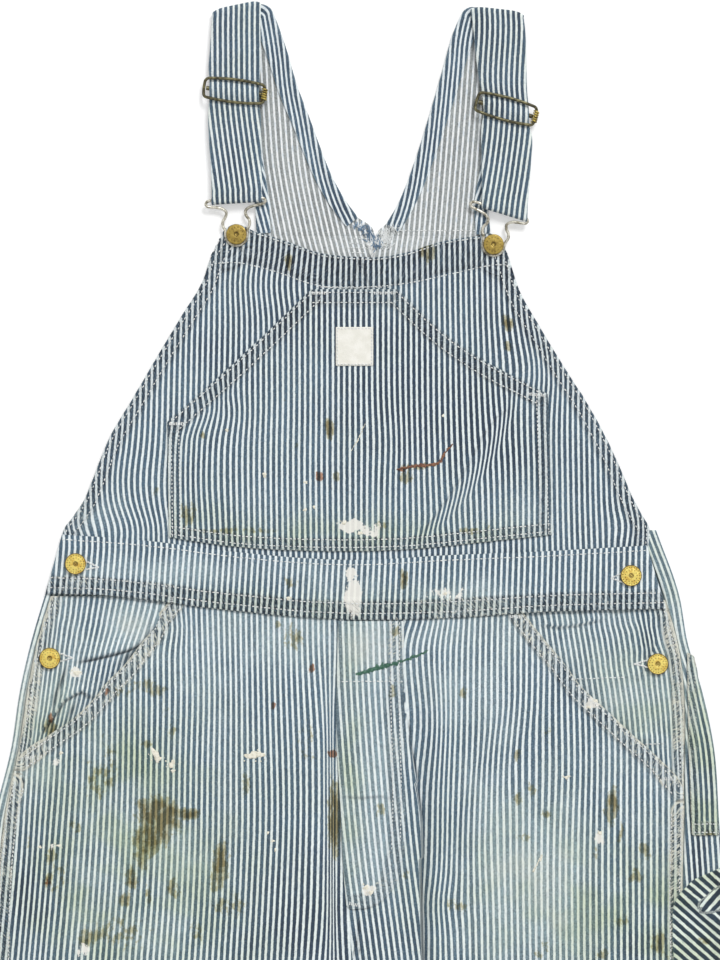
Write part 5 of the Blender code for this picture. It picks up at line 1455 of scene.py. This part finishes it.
def slide(end, row):
    """A wire slide over the strap, and the bar behind the strap that carries it."""
    half_length, half_height = SLIDE_HALF
    tilt = math.atan(row.slope)
    over = row.z + SLIDE_OVER
    loop = []
    for quarter, (sx, sy) in enumerate(((1, 1), (-1, 1), (-1, -1), (1, -1))):
        for step in range(7):
            angle = math.radians(90 * quarter + 15 * step)
            x = sx * (half_length - SLIDE_CORNER) + SLIDE_CORNER * math.cos(angle)
            y = sy * (half_height - SLIDE_CORNER) + SLIDE_CORNER * math.sin(angle)
            loop.append((x, y, 0.0))
    loop = rounded(loop, 140)
    dip = SLIDE_DIP * smooth((np.abs(loop[:, 0]) - half_length + SLIDE_CORNER) / SLIDE_CORNER)
    loop[:, 2] = over - dip
    centre = (row.x, row.y)
    path = [turned_point(point, centre, tilt) for point in loop]
    bent_wire(f"slide_{end}_wire", path, True, WIRE, dark_wire, [f"slide_{end}"])
    span = half_length - WIRE - GAP
    under = row.z - STRAP_CLOTH / 2 - GAP - ROLLER
    bar = [turned_point((x, 0, under), centre, tilt) for x in np.linspace(-span, span, 12)]
    bent_wire(f"roller_{end}_bar", bar, False, ROLLER, dark_wire, [f"roller_{end}"])
    coil = []
    for u in np.linspace(-1, 1, 60):
        angle = COIL_TURNS * math.pi * u
        x, z = half_length + COIL * math.cos(angle), over - SLIDE_DIP + COIL * math.sin(angle)
        coil.append(turned_point((x, COIL_HALF * u, z), centre, tilt))
    bent_wire(f"slide_{end}_coil", coil, False, COIL_WIRE, coil_brass)


def spun(profile, steps):
    """A round bmesh turned from (radius, height) points that start and end on its axis."""
    bm = bmesh.new()
    verts = [bm.verts.new((radius * MM, 0.0, height * MM)) for radius, height in profile]
    edges = [bm.edges.new(pair) for pair in zip(verts, verts[1:])]
    bmesh.ops.spin(bm, geom=verts + edges, cent=(0, 0, 0), axis=(0, 0, 1), angle=math.tau, steps=steps,
                   use_merge=True)
    bmesh.ops.remove_doubles(bm, verts=bm.verts, dist=0.01 * MM)
    bmesh.ops.recalc_face_normals(bm, faces=bm.faces)
    return bm


# A button's outline, from its axis underneath to its axis on top: the share of its radius, then the height.
# The side buttons have a low collar, a nearly flat domed head, a thin rim and a small ringed centre.
SIDE_PROFILE = [(0, 0), (0.55, 0), (0.55, 0.9), (0.86, 1.1), (0.97, 1.5), (1, 1.9), (0.98, 2.25), (0.93, 2.4),
                (0.88, 2.38), (0.84, 2.3), (0.72, 2.42), (0.60, 2.52), (0.48, 2.58), (0.36, 2.62),
                (0.28, 2.66), (0.22, 2.6), (0.17, 2.2), (0.12, 2.2), (0.08, 2.5), (0, 2.55)]
# The bib's have a tall neck that leaves room for the hook's wire, and a flat head with a pierced centre.
BIB_PROFILE = [(0, 0), (0.42, 0), (0.42, 2.6), (0.88, 2.7), (0.97, 3.1), (1, 3.6), (0.98, 4.0), (0.93, 4.25),
               (0.86, 4.3), (0.80, 4.3), (0.66, 4.4), (0.50, 4.5), (0.35, 4.6), (0.20, 4.6), (0.14, 4.1),
               (0.1, 4.0), (0, 4.0)]
SIDE_RINGS = table(Ring, (0.09, 5, True), (0.21, 9, True), (0.56, 13, False), (0.8, 21, False),
                   (0.965, 44, True))
BIB_RINGS = table(Ring, (0.2, 8, True), (0.70, 14, False))
BUTTON_STEPS = 48
BUTTON_CREASE = math.radians(50)
MARK_HALF = 0.4  # half length of a stamped mark that points outwards


def button(knob, outline, rings, material, mark_material):
    """A turned tack button with rings of plain stamped marks, which point outwards or run round it."""
    profile = [(share * knob.radius, height) for share, height in outline]
    bm = spun(profile, BUTTON_STEPS)
    bmesh.ops.translate(bm, verts=bm.verts, vec=Vector((knob.x, knob.y + WAIST, knob.z)) * MM)
    mesh = mesh_of(knob.name + "_head", bm)
    mesh.shade_smooth()
    mesh.set_sharp_from_angle(angle=BUTTON_CREASE)
    add_piece(knob.name + "_head", mesh, material, [knob.name])
    marks = []
    for ring in rings:
        radius = ring.share * knob.radius
        level = knob.z + profile_height(profile, radius)
        half = 1.1 * math.pi * radius / ring.count if ring.round else MARK_HALF
        for angle in np.arange(ring.count) * math.tau / ring.count:
            out = np.array([math.cos(angle), math.sin(angle)])
            run = half * (out[::-1] * (-1, 1) if ring.round else out)
            middle = np.array([knob.x, knob.y]) + radius * out
            marks.append(((*(middle - run), level), (*(middle + run), level), STAMP))
    add_piece(knob.name + "_marks", threads(knob.name + "_marks", marks), mark_material)


def profile_height(profile, radius):
    """Height of a turned profile's upper side at a radius."""
    upper = profile[len(profile) // 2:][::-1]
    return float(np.interp(radius, [p[0] for p in upper], [p[1] for p in upper]))


# ---------------------------------------------------------------- stitches, frayed ends and paint

def surface_of(node):
    """A piece's outer surface, for finding how high it lies."""
    return BVHTree.FromObject(cloths[node], bpy.context.evaluated_depsgraph_get())


def top_at(surface, x, y):
    """Height in millimetres of a piece's top at a point, or none beside it."""
    hit = surface.ray_cast(Vector((x * MM, (y + WAIST) * MM, 0.1)), Vector((0, 0, -1)))[0]
    return None if hit is None else hit.z / MM


def threads(name, lengths, segments=(6, 3)):
    """Short round-ended lengths of thread as one mesh, each from a start to an end with its own radius."""
    bm = bmesh.new()
    bmesh.ops.create_uvsphere(bm, u_segments=segments[0], v_segments=segments[1], radius=1.0)
    unit = mesh_of(name + "_unit", bm)
    shape = corners_of(unit)
    holder = placed(name + "_unit", unit)
    holder.modifiers.new("Rows", "ARRAY").count = len(lengths)
    mesh = settled(name, holder)
    bpy.data.meshes.remove(unit)

    start, end = np.array([one[0] for one in lengths]), np.array([one[1] for one in lengths])
    radius = np.array([one[2] for one in lengths])[:, None]
    run = (end - start) / 2
    side = np.cross(run, (0, 0, 1))
    side *= radius / np.linalg.norm(side, axis=1)[:, None]
    up = np.cross(side, run)
    up *= radius / np.linalg.norm(up, axis=1)[:, None]
    spots = ((start + end) / 2 + (0, WAIST, 0))[:, None] + np.einsum("vk,nkc->nvc", shape,
                                                                   np.stack((side, up, run), axis=1))
    mesh.vertices.foreach_set("co", (spots * MM).ravel())
    mesh.update()
    return mesh


def highest(surfaces, x, y):
    """Height of the topmost of several pieces at a point, or none beside them all."""
    levels = [level for level in (top_at(surface, x, y) for surface in surfaces) if level is not None]
    return max(levels, default=None)


def sew(node, rows, step=STITCH):
    """A piece's rows of stitches and its bartacks, each stitch a short length of thread on the cloth."""
    surface = surface_of(node)
    chance = np.random.default_rng(len(rows) * 17 + len(node))
    close = [line for ends in TACKS.get(node, []) for line in bartack(*ends)]
    lengths = []
    for row, gap in [(row, step) for row in rows] + [(row, TACK_STITCH) for row in close]:
        count = max(1, round(reach(row) / gap))
        marks = follow(row, np.linspace(0, 1, count * 4 + 1))
        for a, b in zip(marks[::4], marks[3::4]):
            ax, ay, bx, by = np.concatenate((a, b)) + chance.normal(0, STITCH_WANDER, 4)
            low, high = top_at(surface, ax, ay), top_at(surface, bx, by)
            if low is not None and high is not None:
                lengths.append(((ax, ay, low + THREAD_LIFT), (bx, by, high + THREAD_LIFT), THREAD / 2))
    return add_piece(node + "_stitches", threads(node + "_stitches", lengths), pale_thread)


def bartack(start, end):
    """Three close rows for the end of an opening."""
    start, end = np.array(start, float), np.array(end, float)
    side = (end - start)[::-1] * (-1, 1) / np.linalg.norm(end - start)
    return [[start + k * TACK_SPREAD * side, end + k * TACK_SPREAD * side] for k in (-1, 0, 1)]


def buttonholes():
    """Short stitches across both sides of each buttonhole's end, where it shows beside its button."""
    chance = np.random.default_rng(77)
    lengths = []
    for slit in SLITS:
        surface = surface_of(slit.piece)
        for side in (slit.upper, slit.lower):
            run = np.array(side) - slit.tip
            across = run[::-1] * (-1, 1) / np.linalg.norm(run)
            for share in np.arange(0, np.linalg.norm(run), SLIT_STITCH) / np.linalg.norm(run):
                x, y = slit.tip + share * run + chance.normal(0, 0.12, 2)
                level = top_at(surface, x, y) + 0.2
                out = SLIT_REACH * across
                ends = [(x + k * out[0], y + k * out[1], level) for k in (-1, 1)]
                lengths.append((*ends, SLIT_THREAD))
    add_piece("buttonhole_stitches", threads("buttonhole_stitches", lengths), pale_thread)


def frayed_yarns():
    """Loose broken yarns lying every way where the yoke has worn through."""
    surfaces = [surface_of(node) for node in ("back_yoke_l", "back_yoke_r", "back_rise_l", "back_rise_r",
                                              "neck_strip_l", "neck_strip_r", "bib")]
    chance = np.random.default_rng(5)
    pale, blue = [], []
    for fray in FRAYS:
        for _ in range(fray.count):
            x, y = chance.normal(fray.x, fray.wide / 2), chance.normal(fray.y, fray.tall / 2)
            heading = chance.normal(math.pi / 2, 0.55)
            half = chance.uniform(1.0, 3.2)
            ends = [(x + k * half * math.cos(heading), y + k * half * math.sin(heading)) for k in (-1, 1)]
            levels = [highest(surfaces, *end) for end in ends]
            if None not in levels:
                rise = chance.uniform(0.1, 0.6)
                tips = [(*end, level + rise) for end, level in zip(ends, levels)]
                one = (*tips, chance.uniform(0.24, 0.48))
                (blue if chance.random() < fray.blue else pale).append(one)
    add_piece("frayed_pale_yarns", threads("frayed_pale_yarns", pale), pale_thread)
    add_piece("frayed_blue_yarns", threads("frayed_blue_yarns", blue), blue_thread)


BIG_DROP = 1.2  # half width above which a drop throws off smaller ones
THROWN = 2.2  # how many, for each millimetre above that
DROP_LOBES = [(2, 0.14), (3, 0.20), (5, 0.16), (9, 0.10)]  # waves round a drop's edge, and how deep


def splatter(name, drops, material, rise=0.35):
    """Dried drops of paint: low uneven domes on the cloth, the larger ones with small drops thrown off."""
    chance = np.random.default_rng(len(drops) + len(name))
    thrown = []
    for drop in drops:
        for _ in range(int(THROWN * max(drop.wide - BIG_DROP, 0))):
            angle, off = chance.uniform(0, math.tau), chance.uniform(0.9, 1.7)
            size = chance.uniform(0.25, 0.8)
            thrown.append(Fleck(drop.piece, drop.x + off * drop.wide * math.cos(angle + drop.turn),
                                drop.y + off * drop.wide * math.sin(angle + drop.turn), size,
                                size * chance.uniform(0.6, 1.0), angle))
    surfaces = {node: surface_of(node) for node in {drop.piece for drop in drops}}
    bm = bmesh.new()
    for drop in drops + thrown:
        level = top_at(surfaces[drop.piece], drop.x, drop.y)
        if level is None:
            continue
        size = Matrix.Diagonal((drop.wide * MM, drop.tall * MM, rise * MM, 1.0))
        at = Matrix.Translation(Vector((drop.x, drop.y + WAIST, level)) * MM)
        made = bmesh.ops.create_icosphere(bm, subdivisions=3 if drop.wide > BIG_DROP else 2, radius=1.0,
                                          matrix=at @ Matrix.Rotation(drop.turn, 4, "Z") @ size)
        phase = chance.uniform(0, math.tau, len(DROP_LOBES))
        for vert in made["verts"]:
            off = vert.co - at.translation
            angle = math.atan2(off.y, off.x)
            grow = 1 + sum(deep * math.sin(lobes * angle + turn)
                           for (lobes, deep), turn in zip(DROP_LOBES, phase))
            vert.co.x, vert.co.y = at.translation.x + off.x * grow, at.translation.y + off.y * grow
    mesh = mesh_of(name, bm)
    mesh.shade_smooth()
    return add_piece(name, mesh, material)


def stroke(piece, line, width, count, seed):
    """Drops close together along a brush stroke, thin and broken towards its ends."""
    chance = np.random.default_rng(seed)
    drops = []
    for share in np.linspace(0, 1, count):
        (x, y), (ahead_x, ahead_y) = follow(line, np.array([share * 0.98, share * 0.98 + 0.02]))
        heading = math.atan2(ahead_y - y, ahead_x - x)
        full = width * (0.45 + 0.55 * math.sin(math.pi * share)) * chance.uniform(0.5, 1.1)
        drops.append(Fleck(piece, x + chance.normal(0, 0.25), y + chance.normal(0, 0.3),
                           chance.uniform(0.8, 1.5), full / 2, heading))
    return drops


# ---------------------------------------------------------------- the garment

def build_cloth():
    """Every piece that is cut and sewn, from the backs up."""
    back_leg("back_leg_l", LEFT_BACK, -1)
    back_leg("back_leg_r", RIGHT_BACK, 1)
    high_back("back_rise_l", HIGH_BACK_L, RISE_L_DRIFT, -1)
    high_back("back_rise_r", HIGH_BACK_R, RISE_R_DRIFT, 1)
    yoke("back_yoke_l", YOKE_L_ARM, YOKE_L_NECK, YOKE_L_DRIFT, -1)
    yoke("back_yoke_r", YOKE_R_ARM, YOKE_R_NECK, YOKE_R_DRIFT, 1)
    edge_strip("neck_strip_l", YOKE_L_NECK[2:] + NECK_END_L, NECK_STRIP, 1)
    edge_strip("neck_strip_r", YOKE_R_NECK[2:] + NECK_END_R, NECK_STRIP, -1)
    edge_strip("arm_strip_l", ARM_STRIP_L, ARM_STRIP, -1)
    edge_strip("arm_strip_r", ARM_STRIP_R, ARM_STRIP, 1)
    side_facing("side_facing_l", LEFT_BACK, FACING_L_INNER, LEFT_FACING_FOLDS, LEFT_FACING_LAPS,
                LEFT_FACING_DRIFT, 0.5, -1)
    side_facing("side_facing_r", RIGHT_BACK, FACING_R_INNER, RIGHT_FACING_FOLDS, RIGHT_FACING_LAPS,
                RIGHT_FACING_DRIFT, 0.45, 1)
    front_leg("front_leg_l", LEFT_BACK, POCKET_OPENING_L, LEFT_PUFF, LEFT_LEG_FOLDS, [], LEFT_LEG_DRIFT,
              LEFT_LEG_TUGS, LEFT_LEG_STRIPE, 0.46, -1)
    front_leg("front_leg_r", RIGHT_BACK, POCKET_OPENING_R, RIGHT_PUFF, RIGHT_LEG_FOLDS,
              [FLY_LAP, *RISE_LAPS], RIGHT_LEG_DRIFT, RIGHT_LEG_TUGS, RIGHT_LEG_STRIPE, 0.52, 1)
    fly_front()
    bib()
    bib_pocket()
    bib_label()
    waistband()
    side_panel("rule_pocket", RULE_POCKET_INNER, RULE_POCKET_OUTER, [], None, 0.3,
               [Hem([(242, -166), (261, -166)], 10, 0.7, rub=0.6), Hem(RULE_POCKET_INNER, 6, 0.6, 2, 5, 0.9)])
    side_panel("hammer_loop", HAMMER_LOOP_INNER, HAMMER_LOOP_OUTER, LOOP_FOLDS, 0.85, -0.5,
               [Hem(HAMMER_LOOP_OUTER, 5, 0.4)])
    strap("strap_l", LEFT_STRAP, BIB_KNOBS[0], LEFT_HOOK_TILT, LEFT_SWAY)
    strap("strap_r", RIGHT_STRAP, BIB_KNOBS[1], RIGHT_HOOK_TILT, RIGHT_SWAY)


def build_metal():
    """The slides, hooks and buttons."""
    for end, rows, knob, tilt, skew in (("l", LEFT_STRAP, BIB_KNOBS[0], LEFT_HOOK_TILT, LEFT_HOOK_SKEW),
                                        ("r", RIGHT_STRAP, BIB_KNOBS[1], RIGHT_HOOK_TILT, RIGHT_HOOK_SKEW)):
        slide(end, next(row for row in rows if row.name == "over bar"))
        hook(f"hook_{end}", knob, tilt, skew)
        button(knob, BIB_PROFILE, BIB_RINGS, old_brass, stamped_dark)
    for knob in SIDE_KNOBS:
        button(knob, SIDE_PROFILE, SIDE_RINGS, gold_brass, stamped_gold)


def build_stitches():
    """Every row of stitches that shows, the buttonholes and the loose yarns."""
    def rows(line, *distances):
        """Rows beside a line, to its left by each distance."""
        return [inset(line, distance) for distance in distances]

    left_side = [POCKET_BOTTOM[0], POCKET_SLANT_L[0]]
    right_side = [POCKET_BOTTOM[-1], POCKET_SLANT_R[-1]]
    sew("bib", [BIB_HEM_ROW, [(-32, 233.4), (22.6, 233.4)], *rows(BIB_TOP, -1.4),
                *rows(BIB_LEFT, -2.0, -8.0), *rows(BIB_RIGHT, 2.0, 8.0)])
    sew("bib_pocket", [*rows(POCKET_TOP, -2.2, -9.5), *rows(POCKET_SLANT_L, -1.6, -9.5),
                       *rows(POCKET_SLANT_R, -1.6, -9.5), *rows(left_side, -2.5, -8.0),
                       *rows(right_side, 2.5, 8.0), *rows(POCKET_BOTTOM, 2.5, 8.0)])
    (x0, y0), (x1, y1) = np.array(LABEL) + [(1, 1), (-1, -1)]
    sew("bib_label", [[(x0, y0), (x0, y1)], [(x1, y0), (x1, y1)], [(x0, y0), (x1, y0)],
                      [(x0, y1), (x1, y1)]], step=2.4)
    sew("waistband", [*rows(BAND_TOP, -3.6), *rows(BAND_BOTTOM, 4.4, 11.5)])
    sew("fly_front", [*rows(FLY_RIGHT[3:], 3.0, 9.0), [(-16.5, -54), (32, -54)]])
    for node, back, opening, side in (("front_leg_l", LEFT_BACK, POCKET_OPENING_L, -1),
                                      ("front_leg_r", RIGHT_BACK, POCKET_OPENING_R, 1)):
        seam, inseam = leg_seams(back, opening, side)
        hem = [(back[-1].inseam, HEM), (back[-1].seam, HEM)]
        sew(node, [*rows(opening, side * 2.0, side * 9.0), *rows(seam, side * 2.0, side * 9.0),
                   *rows(inseam, -side * 2.0, -side * 8.0), *rows(hem, side * 3.0, side * 14.0)])
    sew("side_facing_l", rows(outseam(LEFT_BACK, -1, -125, 4), -3.0))
    sew("side_facing_r", [*rows(outseam(RIGHT_BACK, 1, -141, 2), 3.0), [(154.8, -52.6), (193.4, -51.1)],
                          [(189.8, -100.7), (222.7, -99.3)]])
    sew("rule_pocket", [[(243, -164), (260, -164)], [(243, -158), (260, -158)]])
    sew("back_yoke_r", [[(29, 274.7), (91, 274.7)]])
    sew("back_rise_l", DARNS, step=1.9)
    buttonholes()
    frayed_yarns()


def build_paint():
    """Drops and strokes of paint."""
    splatter("cream_flecks", CREAM_FLECKS + stroke("bib_pocket", PALE_SCRATCH, 1.0, 12, 31)
             + stroke("front_leg_r", PALE_STREAK, 1.2, 8, 32), cream_paint)
    splatter("rust_stroke", stroke("bib_pocket", RUST_STROKE, 2.8, 40, 33), rust_paint, rise=0.25)
    splatter("green_stroke", stroke("fly_front", GREEN_STROKE[:4], 4.2, 50, 34)
             + stroke("front_leg_r", GREEN_STROKE[3:], 2.2, 22, 35), green_paint, rise=0.3)


# ---------------------------------------------------------------- stage

VIEW_HEIGHT = 0.7008
VIEW_MIDDLE = 0.3847
CAMERA_HEIGHT = 2.4
SENSOR = 36.0
FLOOR_SIZE = 60.0
FLOOR_DROP = 0.5 * MM
FLOOR_GREY = 0.82
FLOOR_GLOW = 0.34  # as the camera sees it, so that it comes out white
SKY_LIGHT, SKY_SEEN = 0.55, 1.0  # strength of the sky as a light, and as the camera sees it
KEY_STRENGTH = 1.72
KEY_SPREAD = math.radians(22)
KEY_FROM = (0.42, 0.80, 1.1)


def build_stage():
    """A pale floor, an even soft sky and one soft key light from the top right."""
    s = Shader("floor")
    path = s.node("LightPath", {})
    seen = s.math("MAXIMUM", path.outputs["Is Camera Ray"],
                  s.math("MAXIMUM", path.outputs["Is Glossy Ray"], path.outputs["Is Transmission Ray"]))
    s.surface.inputs["Base Color"].default_value = (FLOOR_GREY, FLOOR_GREY, FLOOR_GREY, 1.0)
    s.surface.inputs["Roughness"].default_value = 0.9
    s.surface.inputs["Emission Color"].default_value = (1.0, 1.0, 1.0, 1.0)
    s.feed(s.surface.inputs["Emission Strength"], s.times(seen, FLOOR_GLOW))
    bm = bmesh.new()
    bmesh.ops.create_grid(bm, x_segments=2, y_segments=2, size=FLOOR_SIZE)
    bmesh.ops.translate(bm, verts=bm.verts, vec=(0, 0, -FLOOR_DROP))
    mesh = mesh_of("floor", bm)
    mesh.materials.append(s.material)
    floor = placed("floor", mesh)

    world = bpy.data.worlds.new("studio")
    bpy.context.scene.world = world
    world.use_nodes = True
    tree = world.node_tree
    sky = tree.nodes["Background"]
    path = tree.nodes.new("ShaderNodeLightPath")
    level = tree.nodes.new("ShaderNodeMapRange")
    level.inputs["To Min"].default_value = SKY_LIGHT
    level.inputs["To Max"].default_value = SKY_SEEN
    tree.links.new(path.outputs["Is Camera Ray"], level.inputs["Value"])
    tree.links.new(level.outputs[0], sky.inputs["Strength"])
    sky.inputs["Color"].default_value = (1.0, 1.0, 1.0, 1.0)

    lamp = bpy.data.lights.new("key", "SUN")
    lamp.energy = KEY_STRENGTH
    lamp.angle = KEY_SPREAD
    key = placed("key", lamp)
    key.rotation_euler = Vector(KEY_FROM).to_track_quat("Z", "Y").to_euler()

    camera = bpy.data.cameras.new("camera")
    camera.sensor_fit = "AUTO"
    camera.sensor_width = SENSOR
    camera.lens = SENSOR * CAMERA_HEIGHT / VIEW_HEIGHT
    camera.clip_end = 200.0
    view = placed("camera", camera)
    view.location = (0.0, VIEW_MIDDLE, CAMERA_HEIGHT)
    bpy.context.scene.camera = view
    bpy.context.scene.view_settings.view_transform = "Standard"


build_cloth()
build_metal()
bpy.context.view_layer.update()
build_stitches()
build_paint()
build_stage()
